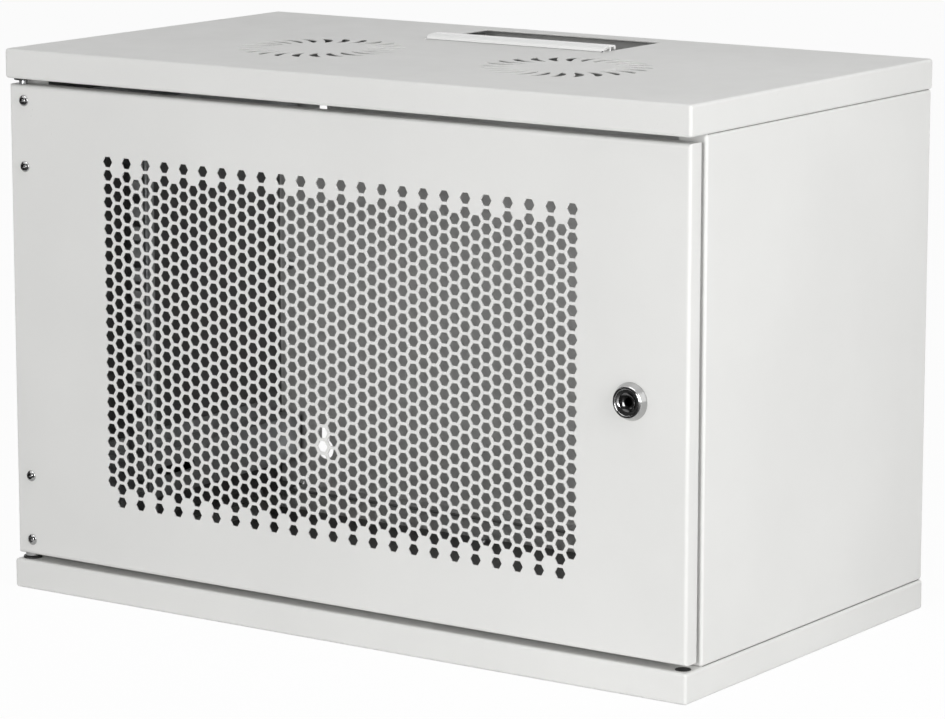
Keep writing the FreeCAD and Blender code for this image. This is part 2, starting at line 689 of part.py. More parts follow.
def lock_body():
    """Bezel and threaded barrel of the lock, turned about the lock's axis."""
    bore = over_flats(LOCK_SIDES, PLUG_RADIUS + PLUG_RUNNING_GAP)
    barrel_end = CAM_FRONT - DOOR_FRONT - PLUG_RUNNING_GAP
    profile = [
        (bore, -LOCK_PROJECTION + LOCK_DISH),
        (LOCK_DISH_RADIUS, -LOCK_PROJECTION),
        (LOCK_RIM_RADIUS, -LOCK_PROJECTION),
        (LOCK_FLANGE_RADIUS, -LOCK_FLANGE),
        (LOCK_FLANGE_RADIUS, 0.0),
        (LOCK_BARREL_RADIUS, 0.0),
        (LOCK_BARREL_RADIUS, barrel_end),
        (bore, barrel_end),
    ]
    return turned(profile, LOCK_SIDES, point(LOCK_X, DOOR_FRONT, MIDDLE_Z), AXIS_Y)


def cam_square(half):
    """The square that joins plug and cam, from its half width."""
    low = (LOCK_X - half, CAM_FRONT, MIDDLE_Z - half)
    high = (LOCK_X + half, CAM_BACK, MIDDLE_Z + half)
    return block(low, high)


def lock_plug():
    """The part that the key turns, with a square tail for the cam."""
    front = DOOR_FRONT - LOCK_PROJECTION + LOCK_DISH
    centre = point(LOCK_X, front, MIDDLE_Z)
    plug = rod(PLUG_RADIUS, centre, AXIS_Y, CAM_FRONT - front)
    key_slot = block(
        (LOCK_X - KEY_SLOT_WIDTH / 2, front, MIDDLE_Z - KEY_SLOT_HEIGHT / 2),
        (LOCK_X + KEY_SLOT_WIDTH / 2, front + KEY_SLOT_DEPTH, MIDDLE_Z + KEY_SLOT_HEIGHT / 2),
    )
    bore_start = point(LOCK_X, CAM_BACK - CAM_SCREW_DEPTH, MIDDLE_Z)
    bore_radius = CAM_SCREW_RADIUS + NUT_THREAD_GAP
    screw_bore = prism(SMALL_SIDES, bore_radius, bore_start, AXIS_Y, CAM_SCREW_DEPTH)
    return plug.fuse(cam_square(PLUG_SQUARE / 2)).cut([key_slot, screw_bore])


def lock_nut():
    start = point(LOCK_X, DOOR_SKIN_BACK, MIDDLE_Z)
    nut = prism(6, over_flats(6, LOCK_NUT_FLATS / 2), start, AXIS_Y, LOCK_NUT)
    return nut.cut(prism(LOCK_SIDES, LOCK_BARREL_RADIUS + NUT_THREAD_GAP, start, AXIS_Y, LOCK_NUT))


def lock_cam():
    """The flat arm on the plug: upright when unlocked, behind the side flange when locked."""
    outline = []
    for side in (-1, 1):
        root = LOCK_X + side * CAM_WIDTH / 2
        tip = LOCK_X + side * CAM_TIP_WIDTH / 2
        half = [
            point(root - side * CAM_BEVEL, CAM_FRONT, MIDDLE_Z - CAM_WIDTH / 2),
            point(root, CAM_FRONT, MIDDLE_Z - CAM_WIDTH / 2 + CAM_BEVEL),
            point(tip, CAM_FRONT, MIDDLE_Z + CAM_LENGTH - CAM_BEVEL),
            point(tip - side * CAM_BEVEL, CAM_FRONT, MIDDLE_Z + CAM_LENGTH),
        ]
        outline += half[::side]
    hole = cam_square(PLUG_SQUARE / 2 + PLUG_RUNNING_GAP)
    return flat_face(outline).extrude(AXIS_Y * CAM_SHEET).cut(hole)


def cam_screw():
    shank_start = point(LOCK_X, CAM_BACK - CAM_SCREW_DEPTH + NUT_THREAD_GAP, MIDDLE_Z)
    shank = prism(SMALL_SIDES, CAM_SCREW_RADIUS, shank_start, AXIS_Y, CAM_SCREW_DEPTH - NUT_THREAD_GAP)
    head_start = point(LOCK_X, CAM_BACK, MIDDLE_Z)
    return shank.fuse(prism(ROUND_SIDES, CAM_SCREW_HEAD_RADIUS, head_start, AXIS_Y, CAM_SCREW_HEAD))


def left_rack_rail():
    """An upright rail: inner return, punched face and outer web along the supports."""
    path = [
        point(RAIL_OUTER_X, RAIL_FACE + RAIL_WEB_DEPTH, RAIL_LOW),
        point(RAIL_OUTER_X, RAIL_FACE, RAIL_LOW),
        point(RAIL_INNER_X, RAIL_FACE, RAIL_LOW),
        point(RAIL_INNER_X, RAIL_FACE + RAIL_RETURN, RAIL_LOW),
    ]
    rail = folded_strip(path, AXIS_Z, HEAVY_SHEET, AXIS_Z * RAIL_LENGTH, BEND)
    half = RACK_HOLE_SIZE / 2
    holes = []
    for unit in range(RACK_UNITS):
        for offset in RACK_HOLES_IN_UNIT:
            z = RAIL_LOW + RAIL_END_MARGIN + unit * RACK_UNIT + offset
            low = (RACK_HOLE_X - half, RAIL_FACE - CUT_PAST, z - half)
            high = (RACK_HOLE_X + half, RAIL_FACE + CUT_PAST, z + half)
            holes.append(block(low, high))
    for z in SUPPORT_LEVELS.values():
        start = point(RAIL_OUTER_X - CUT_PAST, RAIL_BOLT_Y, z)
        holes.append(prism(SMALL_SIDES, BOLT_RADIUS + BOLT_GAP, start, AXIS_X, 2 * CUT_PAST))
    return rail.cut(holes)


def left_rail_support(level):
    """A hat section along the side panel, slotted so that the rail can be set in depth."""
    start = SIDE_FRONT + SHEET + SUPPORT_END_GAP
    run = BACK_INNER - SUPPORT_END_GAP - start
    foot_x = SIDE_INNER + HEAVY_SHEET
    half = SUPPORT_HEIGHT / 2
    path = [
        point(foot_x, start, level - half - SUPPORT_FOOT),
        point(foot_x, start, level - half),
        point(RAIL_OUTER_X, start, level - half),
        point(RAIL_OUTER_X, start, level + half),
        point(foot_x, start, level + half),
        point(foot_x, start, level + half + SUPPORT_FOOT),
    ]
    hat = folded_strip(path, -AXIS_Y, HEAVY_SHEET, AXIS_Y * run)
    width = 2 * (BOLT_RADIUS + BOLT_GAP)
    centre = point(RAIL_OUTER_X, RAIL_BOLT_Y + (SUPPORT_SLOT - width) / 2 - width, level)
    return hat.cut(slot_cutter(centre, width, SUPPORT_SLOT, AXIS_Y, AXIS_X))


def left_rail_bolt(level):
    """Pan head inside the rail's web, shank through web and support."""
    web_inside = RAIL_OUTER_X + HEAVY_SHEET
    length = 2 * HEAVY_SHEET + NUT + BOLT_TAIL
    seat = point(web_inside, RAIL_BOLT_Y, level)
    shank = prism(SMALL_SIDES, BOLT_RADIUS, seat, -AXIS_X, length)
    return shank.fuse(prism(ROUND_SIDES, BOLT_HEAD_RADIUS, seat, AXIS_X, BOLT_HEAD))


def left_rail_nut(level):
    face = point(RAIL_OUTER_X - HEAVY_SHEET, RAIL_BOLT_Y, level)
    nut = prism(6, over_flats(6, NUT_FLATS / 2), face, -AXIS_X, NUT)
    return nut.cut(prism(SMALL_SIDES, BOLT_RADIUS + NUT_THREAD_GAP, face, -AXIS_X, NUT))


def pan_screw(seat, direction, length):
    """A small pan-head screw: the head stands off the seat, the shank goes in."""
    shank = prism(SMALL_SIDES, SCREW_RADIUS, seat, direction, length)
    return shank.fuse(prism(SMALL_SIDES, SCREW_HEAD_RADIUS, seat, -direction, SCREW_HEAD))


def panel_screws():
    """Screws from inside through the side panels' flanges into both trays."""
    length = 2 * SHEET + SCREW_TAIL
    screws = []
    for x, y in panel_screw_places():
        screws.append(pan_screw(point(x, y, FLOOR_LIP_TOP + SHEET), -AXIS_Z, length))
        screws.append(pan_screw(point(x, y, ROOF_LIP_UNDER - SHEET), AXIS_Z, length))
    return both_sides(screws)


def back_screws():
    """Screws from inside through the back panel, flush with the outside of the side flanges."""
    screws = [pan_screw(point(x, BACK_INNER, z), AXIS_Y, 2 * SHEET) for x, z in back_screw_places()]
    return both_sides(screws)


def floor_blank_plate():
    low = (-ENTRY_WIDTH / 2 - BLANK_OVERLAP, ENTRY_FRONT - BLANK_OVERLAP, SHEET)
    high = (ENTRY_WIDTH / 2 + BLANK_OVERLAP, ENTRY_REAR + BLANK_OVERLAP, 2 * SHEET)
    holes = [screw_hole(SCREW_RADIUS, point(x, y, SHEET), AXIS_Z) for x, y in blank_screw_places()]
    return block(low, high).cut(holes)


def blank_screws():
    return [pan_screw(point(x, y, 2 * SHEET), -AXIS_Z, 2 * SHEET) for x, y in blank_screw_places()]


def cable_cover():
    """The sliding plate under the roof."""
    rear = HANDLE_WEB_FRONT + HANDLE_WEB
    low = (-COVER_HALF_WIDTH, rear - COVER_LENGTH, COVER_LOW)
    return block(low, (COVER_HALF_WIDTH, rear, COVER_TOP))


def cover_handle():
    """A drawn profile: a web up through the entry under a crowned cap that curls down behind."""
    half = ENTRY_WIDTH / 2 - COVER_CLEARANCE
    web_rear = HANDLE_WEB_FRONT + HANDLE_WEB
    front = HANDLE_WEB_FRONT - HANDLE_AHEAD
    rear = front + HANDLE_DEPTH
    under = HEIGHT + COVER_CLEARANCE
    top = under + HANDLE_CROWN
    corners = [
        (HANDLE_WEB_FRONT, COVER_TOP, 0),
        (web_rear, COVER_TOP, 0),
        (web_rear, top - HANDLE_WALL, HANDLE_INNER_RADIUS),
        (rear - HANDLE_WALL, top - HANDLE_WALL, HANDLE_INNER_RADIUS),
        (rear - HANDLE_WALL, under, 0),
        (rear, under, 0),
        (rear, top, HANDLE_REAR_RADIUS),
        (HANDLE_WEB_FRONT - HANDLE_WALL, top, HANDLE_CROWN_RADIUS),
        (front, under + HANDLE_WALL, HANDLE_INNER_RADIUS),
        (front, under, 0),
        (HANDLE_WEB_FRONT, under, 0),
    ]
    radii = [radius for _, _, radius in corners]
    outline = rounded_wire([point(-half, y, z) for y, z, _ in corners], radii)
    return Part.Face(outline).extrude(AXIS_X * (2 * half))


def left_cover_guide():
    """A Z strip under the roof; its lower leg carries the edge of the cover."""
    wall = -COVER_HALF_WIDTH - COVER_CLEARANCE
    low = COVER_LOW - COVER_CLEARANCE - SHEET
    start = HANDLE_WEB_FRONT + HANDLE_WEB - COVER_LENGTH
    path = [
        point(wall - GUIDE_FOOT, start, ROOF_UNDER),
        point(wall, start, ROOF_UNDER),
        point(wall, start, low + SHEET),
        point(wall + COVER_SIDE_OVERLAP, start, low + SHEET),
    ]
    run = COVER_LENGTH + COVER_TRAVEL + COVER_CLEARANCE
    return folded_strip(path, AXIS_Y, SHEET, AXIS_Y * run)


def earth_stud():
    """A stud welded to the floor, round above its nut."""
    foot_start = point(LEFT + STUD_FROM_SIDE, FRONT + STUD_FROM_FRONT, SHEET)
    foot = prism(SMALL_SIDES, STUD_RADIUS, foot_start, AXIS_Z, NUT)
    return foot.fuse(rod(STUD_RADIUS, foot_start + AXIS_Z * NUT, AXIS_Z, STUD_LENGTH - NUT))


def earth_nut():
    start = point(LEFT + STUD_FROM_SIDE, FRONT + STUD_FROM_FRONT, SHEET)
    nut = prism(6, over_flats(6, NUT_FLATS / 2), start, AXIS_Z, NUT)
    return nut.cut(prism(SMALL_SIDES, STUD_RADIUS + NUT_THREAD_GAP, start, AXIS_Z, NUT))


def pieces():
    """Every node of the cabinet by name: one solid, or a list of like solids."""
    levels = SUPPORT_LEVELS
    nodes = {
        "roof": roof(),
        "floor": floor(),
        "left_side_panel": left_side_panel(),
        "right_side_panel": mirrored(left_side_panel()),
        "back_panel": back_panel(),
        "door_panel": door_panel(),
        "upper_hinge_bracket": hinge_bracket(UPPER_BRACKET_LOW),
        "lower_hinge_bracket": hinge_bracket(LOWER_BRACKET_LOW),
        "upper_hinge_bush": hinge_bush(ROOF_LIP_UNDER, AXIS_Z),
        "lower_hinge_bush": hinge_bush(FLOOR_LIP_TOP, -AXIS_Z),
        "upper_hinge_pin": upper_hinge_pin(),
        "upper_hinge_spring": upper_hinge_spring(),
        "lower_hinge_pin": lower_hinge_pin(),
        "hinge_screws": [dome_screw(z) for z in hinge_screw_levels()],
        "lock_body": lock_body(),
        "lock_nut": lock_nut(),
        "lock_plug": lock_plug(),
        "lock_cam": lock_cam(),
        "cam_screw": cam_screw(),
        "left_rack_rail": left_rack_rail(),
        "right_rack_rail": mirrored(left_rack_rail()),
        "rail_bolts": both_sides([left_rail_bolt(z) for z in levels.values()]),
        "rail_nuts": both_sides([left_rail_nut(z) for z in levels.values()]),
        "panel_screws": panel_screws(),
        "back_screws": back_screws(),
        "cable_cover": cable_cover(),
        "cover_handle": cover_handle(),
        "left_cover_guide": left_cover_guide(),
        "right_cover_guide": mirrored(left_cover_guide()),
        "floor_blank_plate": floor_blank_plate(),
        "blank_screws": blank_screws(),
        "earth_stud": earth_stud(),
        "earth_nut": earth_nut(),
    }
    for level, z in levels.items():
        nodes[f"{level}_left_rail_support"] = left_rail_support(z)
        nodes[f"{level}_right_rail_support"] = mirrored(left_rail_support(z))
    return nodes


def main():
    os.makedirs("parts", exist_ok=True)
    for name, shape in pieces().items():
        if isinstance(shape, list):
            shape = Part.makeCompound(shape)
        shape.exportStep(f"parts/{name}.step")


main()
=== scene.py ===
"""Dressing of the wall mount network cabinet: detailed sheet metal, hardware, finishes and studio."""

import json
import math

import bmesh
import bpy
from mathutils import Matrix, Vector


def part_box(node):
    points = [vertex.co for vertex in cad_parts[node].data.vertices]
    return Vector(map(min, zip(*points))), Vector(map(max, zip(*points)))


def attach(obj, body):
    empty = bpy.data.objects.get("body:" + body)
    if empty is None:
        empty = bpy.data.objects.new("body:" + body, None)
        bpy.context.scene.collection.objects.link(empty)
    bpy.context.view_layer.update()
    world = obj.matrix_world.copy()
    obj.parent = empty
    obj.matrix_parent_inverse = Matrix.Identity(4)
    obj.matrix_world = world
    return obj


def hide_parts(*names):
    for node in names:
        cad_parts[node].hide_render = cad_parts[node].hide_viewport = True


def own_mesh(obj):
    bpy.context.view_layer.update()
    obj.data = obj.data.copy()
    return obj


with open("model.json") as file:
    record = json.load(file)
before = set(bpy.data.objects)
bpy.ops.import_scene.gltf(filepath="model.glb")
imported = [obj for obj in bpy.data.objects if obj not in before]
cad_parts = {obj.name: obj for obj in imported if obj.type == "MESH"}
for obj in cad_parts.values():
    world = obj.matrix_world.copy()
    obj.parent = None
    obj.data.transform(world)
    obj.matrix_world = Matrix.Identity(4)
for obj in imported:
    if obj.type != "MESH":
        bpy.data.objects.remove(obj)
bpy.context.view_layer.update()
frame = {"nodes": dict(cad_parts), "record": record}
scene = bpy.context.scene

MM = 0.001

# Sheet metal, in metres
SHEET = 1.2 * MM
HEAVY_SHEET = 1.5 * MM
TRAY_BEND = 2.1 * MM
PANEL_BEND = 2.2 * MM
DOOR_BEND = 2.8 * MM
BEND_STEPS = 5
EDGE_BREAK = 0.2 * MM
FLAT = 0.001 * MM  # how far a point may lie off a plane and still count as on it

# Perforated field of the door
FIELD_COLUMNS = 47
FIELD_ROWS = 25
COLUMN_PITCH = 8.0 * MM
ROW_PITCH = 9.0 * MM
HOLE_FLATS = 7.0 * MM
COLUMN_DROP = 1.5  # in rows, for every second column

# Fan grilles in the roof
FAN_SPACING = 196.5 * MM
FAN_FROM_FRONT = 124.0 * MM
FAN_SLOTS = 24
SLOT_RADIUS = 44.0 * MM
SLOT_LENGTH = 26.0 * MM
SLOT_WIDTH = 5.6 * MM
SLOT_SLANT = 0.14
SLOT_CURL = 18.0  # per metre, so that the slots are blades and not straight

ENTRY_SIZE = (144.0 * MM, 64.0 * MM)
DOOR_LIP = 7.0 * MM
SPARE_HINGE_RADIUS = 5.0 * MM
HINGE_SCREW_HOLE = 2.1 * MM
HINGE_SCREW_SPACING = 44.4 * MM
LOCK_HOLE = 9.35 * MM
TRAY_LIPS = {"front": 32.0 * MM, "side": 21.0 * MM, "rear": 19.0 * MM}

# Half the width of a hexagon over its flats, for corners one away from its middle
HEX_FLATS = math.cos(math.pi / 6)

# Screws, bolts and nuts. The construction's small heads have six sides; a rise runs from the
# middle of such a head to its flats.
DOME_RADIUS = 3.8 * MM
DOME_RISE = 3.291 * MM
DOME_SHANK = 1.95 * MM
PAN_RADIUS = 4.0 * MM
PAN_HEAD = 2.2 * MM
PAN_RISE = 3.464 * MM
PAN_SHANK = 2.0 * MM
PANEL_SCREW_LENGTH = 5.4 * MM
RAIL_BOLT_HEAD_RADIUS = 5.2 * MM
RAIL_BOLT_HEAD_HEIGHT = 3.4 * MM
RAIL_BOLT_LENGTH = 10.0 * MM
THREAD_RADIUS = 2.95 * MM
THREAD_ROOT = 2.55 * MM
THREAD_PITCH = 1.0 * MM
NUT_FLATS = 10.0 * MM
NUT_HEIGHT = 5.0 * MM
EARTH_NUT_BORE = 2.97 * MM

# Hinge hardware
PIN_RADIUS = 2.97 * MM
BUSH_BORE = 3.03 * MM
BUSH_RADIUS = 4.95 * MM
BUSH_FLANGE = 1.4 * MM
SPRING_WIRE = 0.5 * MM
SPRING_RADIUS = 3.9 * MM
SPRING_TURNS = 9

# Handle of the entry's cover
GRIP_WALL = 1.2 * MM
WEB_WALL = 1.6 * MM
WEB_SIDE_GAP = 0.2 * MM
WEB_UNDER_TOP = 1.0 * MM
WEB_FROM_FRONT = 11.0 * MM

# Finishes: the coat's colour, worn edges, where scuffs begin and are full, and how soft and deep
# the painted shade inside is, a darkening of the coat that stands in for the shade in the cabinet
GREY = (0.76, 0.76, 0.745)
WORN_RADIUS = 0.4 * MM
SCUFF_PATCHES = (0.70, 0.76)
SCUFF_SPECKS = (0.66, 0.74)
SHADE_EDGE = 0.3 * MM
DOOR_SHADE_SHARE = 0.5

# Studio: the light of the room, the floor's colour and its share of plain white for the camera
ROOM_LIGHT = 0.10
FLOOR_WHITE = (0.88, 0.88, 0.88, 1)
FLOOR_GLOW = 0.96

# Boxes of painted shade: the room inside the body and the room inside the door, a little short of their
# outside faces
SHADED_ROOM_CENTRE = (0, 10.1 * MM, 185.0 * MM)
SHADED_ROOM_HALF = (268.4 * MM, 138.05 * MM, 184.4 * MM)
SHADED_DOOR_CENTRE = (0, -136.6 * MM, 185.0 * MM)
SHADED_DOOR_HALF = (265.4 * MM, 8.7 * MM, 160.0 * MM)

# Local frames: the skin's outward normal is local Z, and local Y is up on upright pieces
OUTWARD = {
    "top": Matrix(((1, 0, 0), (0, 1, 0), (0, 0, 1))),
    "bottom": Matrix(((1, 0, 0), (0, -1, 0), (0, 0, -1))),
    "front": Matrix(((1, 0, 0), (0, 0, -1), (0, 1, 0))),
    "rear": Matrix(((-1, 0, 0), (0, 0, 1), (0, 1, 0))),
    "left": Matrix(((0, 0, -1), (-1, 0, 0), (0, 1, 0))),
    "right": Matrix(((0, 0, 1), (1, 0, 0), (0, 1, 0))),
}


def corners(node):
    low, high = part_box(node)
    return Vector(low), Vector(high)


def middle(node):
    low, high = corners(node)
    return (low + high) / 2


def mount(name):
    rows = frame["record"]["mounts"]
    return Vector(next(row["pos_m"] for row in rows if row["name"] == name))


def skin_frame(node, side):
    """A matrix from the skin's own frame to the cabinet, and the node's size in the skin's frame."""
    low, high = corners(node)
    turn = OUTWARD[side]
    size = turn.transposed() @ (high - low)
    size = Vector([abs(value) for value in size])
    centre = (low + high) / 2 + turn @ Vector((0, 0, size.z / 2))
    return Matrix.Translation(centre) @ turn.to_4x4(), size


# ---------------------------------------------------------------- materials


def socket_group(name, inputs, outputs):
    group = bpy.data.node_groups.new(name, "ShaderNodeTree")
    for label, kind, value in inputs:
        socket = group.interface.new_socket(name=label, in_out="INPUT", socket_type=kind)
        socket.default_value = value
    for label, kind in outputs:
        group.interface.new_socket(name=label, in_out="OUTPUT", socket_type=kind)
    return group


def add(tree, kind, **settings):
    node = tree.nodes.new(kind)
    for key, value in settings.items():
        setattr(node, key, value)
    return node


def feed(tree, *pairs):
    for source, target in pairs:
        tree.links.new(source, target)


def noise(tree, place, scale, detail=4.0, rough=0.55):
    node = add(tree, "ShaderNodeTexNoise")
    node.inputs["Scale"].default_value = scale
    node.inputs["Detail"].default_value = detail
    node.inputs["Roughness"].default_value = rough
    feed(tree, (place, node.inputs["Vector"]))
    return node.outputs["Fac"]


def spread(tree, value, low, high):
    """Maps a value that lies about 0.3 to 0.7 onto low to high."""
    node = add(tree, "ShaderNodeMapRange")
    node.inputs["From Min"].default_value = 0.3
    node.inputs["From Max"].default_value = 0.7
    node.inputs["To Min"].default_value = low
    node.inputs["To Max"].default_value = high
    feed(tree, (value, node.inputs["Value"]))
    return node.outputs["Result"]


def box_mask(tree, place, centre, half, edge, most=1.0):
    """Most inside a box and 0 outside it, softened over an edge."""
    offset = add(tree, "ShaderNodeVectorMath", operation="SUBTRACT")
    offset.inputs[1].default_value = centre
    size = add(tree, "ShaderNodeVectorMath", operation="ABSOLUTE")
    beyond = add(tree, "ShaderNodeVectorMath", operation="SUBTRACT")
    beyond.inputs[1].default_value = half
    parts = add(tree, "ShaderNodeSeparateXYZ")
    wider = add(tree, "ShaderNodeMath", operation="MAXIMUM")
    widest = add(tree, "ShaderNodeMath", operation="MAXIMUM")
    mask = add(tree, "ShaderNodeMapRange")
    mask.inputs["From Min"].default_value = 0
    mask.inputs["From Max"].default_value = -edge
    mask.inputs["To Max"].default_value = most
    feed(
        tree,
        (place, offset.inputs[0]),
        (offset.outputs[0], size.inputs[0]),
        (size.outputs[0], beyond.inputs[0]),
        (beyond.outputs[0], parts.inputs[0]),
        (parts.outputs["X"], wider.inputs[0]),
        (parts.outputs["Y"], wider.inputs[1]),
        (wider.outputs[0], widest.inputs[0]),
        (parts.outputs["Z"], widest.inputs[1]),
        (widest.outputs[0], mask.inputs["Value"]),
    )
    return mask.outputs["Result"]


def edge_mask(tree, radius):
    """How sharply the surface turns here: 0 on flats, towards 1 on cut edges."""
    rounded = add(tree, "ShaderNodeBevel", samples=4)
    rounded.inputs["Radius"].default_value = radius
    actual = add(tree, "ShaderNodeNewGeometry")
    likeness = add(tree, "ShaderNodeVectorMath", operation="DOT_PRODUCT")
    mask = add(tree, "ShaderNodeMapRange")
    mask.inputs["From Min"].default_value = 0.99
    mask.inputs["From Max"].default_value = 0.80
    feed(
        tree,
        (rounded.outputs["Normal"], likeness.inputs[0]),
        (actual.outputs["Normal"], likeness.inputs[1]),
        (likeness.outputs["Value"], mask.inputs["Value"]),
    )
    return mask.outputs["Result"]


def blend(tree, factor, first, second):
    """A value between two others, which may be sockets or numbers."""
    node = add(tree, "ShaderNodeMix")
    for socket, value in zip((node.inputs[0], node.inputs[2], node.inputs[3]), (factor, first, second)):
        if isinstance(value, (int, float)):
            socket.default_value = value
        else:
            feed(tree, (value, socket))
    return node.outputs[0]


def times(tree, first, second):
    node = add(tree, "ShaderNodeMath", operation="MULTIPLY")
    feed(tree, (first, node.inputs[0]), (second, node.inputs[1]))
    return node.outputs[0]


def make_coat_texture():
    """Fine peel of a baked coat, drifting tone, painted shade inside, paler edges and a few scuffs."""
    group = socket_group(
        "coat texture",
        [
            ("Color", "NodeSocketColor", (0.8, 0.8, 0.8, 1.0)),
            ("Roughness", "NodeSocketFloat", 0.5),
            ("Peel Scale", "NodeSocketFloat", 900.0),
            ("Tone Drift", "NodeSocketFloat", 0.05),
            ("Inside Tone", "NodeSocketFloat", 1.0),
            ("Edge Tone", "NodeSocketFloat", 1.06),
            ("Edge Wear", "NodeSocketFloat", 1.0),
            ("Scuff Tone", "NodeSocketFloat", 0.7),
        ],
        [("Color", "NodeSocketColor"), ("Roughness", "NodeSocketFloat"), ("Height", "NodeSocketFloat")],
    )
    start = add(group, "NodeGroupInput")
    end = add(group, "NodeGroupOutput")
    place = add(group, "ShaderNodeTexCoord").outputs["Object"]

    drift = add(group, "ShaderNodeMath", operation="MULTIPLY_ADD")
    drift.inputs[2].default_value = 1.0
    feed(
        group,
        (spread(group, noise(group, place, 7.0, 3.0), -0.5, 0.5), drift.inputs[0]),
        (start.outputs["Tone Drift"], drift.inputs[1]),
    )

    # Painted shade: inside the body and the door the coat is darkened, standing in for the shade there
    inside = add(group, "ShaderNodeMath", operation="MAXIMUM")
    body_shade = box_mask(group, place, SHADED_ROOM_CENTRE, SHADED_ROOM_HALF, SHADE_EDGE)
    door_shade = box_mask(group, place, SHADED_DOOR_CENTRE, SHADED_DOOR_HALF, SHADE_EDGE, DOOR_SHADE_SHARE)
    feed(group, (body_shade, inside.inputs[0]), (door_shade, inside.inputs[1]))
    inside_shade = blend(group, inside.outputs[0], 1.0, start.outputs["Inside Tone"])
    edges = times(group, edge_mask(group, WORN_RADIUS), start.outputs["Edge Wear"])
    edge_tone = blend(group, edges, 1.0, start.outputs["Edge Tone"])

    # Scuffs: short dark rubs, only where a broad noise and a fine one are both high
    stretched = add(group, "ShaderNodeMapping")
    stretched.inputs["Scale"].default_value = (1.0, 1.0, 0.45)
    feed(group, (place, stretched.inputs["Vector"]))
    patches = add(group, "ShaderNodeMapRange")
    patches.inputs["From Min"].default_value, patches.inputs["From Max"].default_value = SCUFF_PATCHES
    specks = add(group, "ShaderNodeMapRange")
    specks.inputs["From Min"].default_value, specks.inputs["From Max"].default_value = SCUFF_SPECKS
    feed(
        group,
        (noise(group, place, 16.0, 1.0), patches.inputs["Value"]),
        (noise(group, stretched.outputs["Vector"], 900.0, 3.0), specks.inputs["Value"]),
    )
    scuffs = times(group, patches.outputs["Result"], specks.outputs["Result"])
    scuff_tone = blend(group, scuffs, 1.0, start.outputs["Scuff Tone"])

    tone = times(group, times(group, drift.outputs[0], inside_shade), times(group, edge_tone, scuff_tone))
    tint = add(group, "ShaderNodeVectorMath", operation="SCALE")
    peel = add(group, "ShaderNodeTexNoise")
    peel.inputs["Detail"].default_value = 2.0
    uneven_gloss = blend(group, edges, spread(group, noise(group, place, 60.0), 0.9, 1.1), 0.8)
    feed(
        group,
        (start.outputs["Color"], tint.inputs[0]),
        (tone, tint.inputs["Scale"]),
        (tint.outputs[0], end.inputs["Color"]),
        (times(group, start.outputs["Roughness"], uneven_gloss), end.inputs["Roughness"]),
        (place, peel.inputs["Vector"]),
        (start.outputs["Peel Scale"], peel.inputs["Scale"]),
        (peel.outputs["Fac"], end.inputs["Height"]),
    )
    return group


def make_metal_texture():
    """Plated metal: crystalline mottling, brighter rubbed edges and uneven gloss."""
    group = socket_group(
        "plated metal texture",
        [
            ("Color", "NodeSocketColor", (0.7, 0.7, 0.7, 1.0)),
            ("Roughness", "NodeSocketFloat", 0.3),
            ("Mottle", "NodeSocketFloat", 0.1),
            ("Scale", "NodeSocketFloat", 300.0),
            ("Edge Wear", "NodeSocketFloat", 1.0),
        ],
        [("Color", "NodeSocketColor"), ("Roughness", "NodeSocketFloat"), ("Height", "NodeSocketFloat")],
    )
    start = add(group, "NodeGroupInput")
    end = add(group, "NodeGroupOutput")
    place = add(group, "ShaderNodeTexCoord").outputs["Object"]
    grain = add(group, "ShaderNodeTexNoise")
    grain.inputs["Detail"].default_value = 5.0
    centred = add(group, "ShaderNodeMath", operation="SUBTRACT")
    centred.inputs[1].default_value = 0.5
    amount = add(group, "ShaderNodeMath", operation="MULTIPLY_ADD")
    amount.inputs[2].default_value = 1.0
    tint = add(group, "ShaderNodeVectorMath", operation="SCALE")
    gloss = add(group, "ShaderNodeMath", operation="MULTIPLY")
    worn = times(group, edge_mask(group, 0.3 * MM), start.outputs["Edge Wear"])
    rubbed = blend(group, worn, 1.0, 1.15)
    feed(
        group,
        (place, grain.inputs["Vector"]),
        (start.outputs["Scale"], grain.inputs["Scale"]),
        (grain.outputs["Fac"], centred.inputs[0]),
        (centred.outputs[0], amount.inputs[0]),
        (start.outputs["Mottle"], amount.inputs[1]),
        (start.outputs["Color"], tint.inputs[0]),
        (times(group, amount.outputs[0], rubbed), tint.inputs["Scale"]),
        (tint.outputs[0], end.inputs["Color"]),
        (start.outputs["Roughness"], gloss.inputs[0]),
        (spread(group, noise(group, place, 120.0), 0.8, 1.25), gloss.inputs[1]),
        (gloss.outputs[0], end.inputs["Roughness"]),
        (grain.outputs["Fac"], end.inputs["Height"]),
    )
    return group


coat_texture = make_coat_texture()
metal_texture = make_metal_texture()


def finish(name, texture, color, roughness, bump, settings=(), **shader_values):
    """A material whose colour, gloss and bump come from a texture group."""
    material = bpy.data.materials.new(name)
    material.use_nodes = True
    tree = material.node_tree
    shader = tree.nodes["Principled BSDF"]
    surface = add(tree, "ShaderNodeGroup", node_tree=texture)
    surface.inputs["Color"].default_value = (*color, 1.0)
    surface.inputs["Roughness"].default_value = roughness
    for label, value in settings:
        surface.inputs[label].default_value = value
    relief = add(tree, "ShaderNodeBump")
    relief.inputs["Strength"].default_value = bump
    relief.inputs["Distance"].default_value = 0.1 * MM
    feed(
        tree,
        (surface.outputs["Color"], shader.inputs["Base Color"]),
        (surface.outputs["Roughness"], shader.inputs["Roughness"]),
        (surface.outputs["Height"], relief.inputs["Height"]),
        (relief.outputs["Normal"], shader.inputs["Normal"]),
    )
    for label, value in shader_values.items():
        shader.inputs[label.replace("_", " ")].default_value = value
    return material


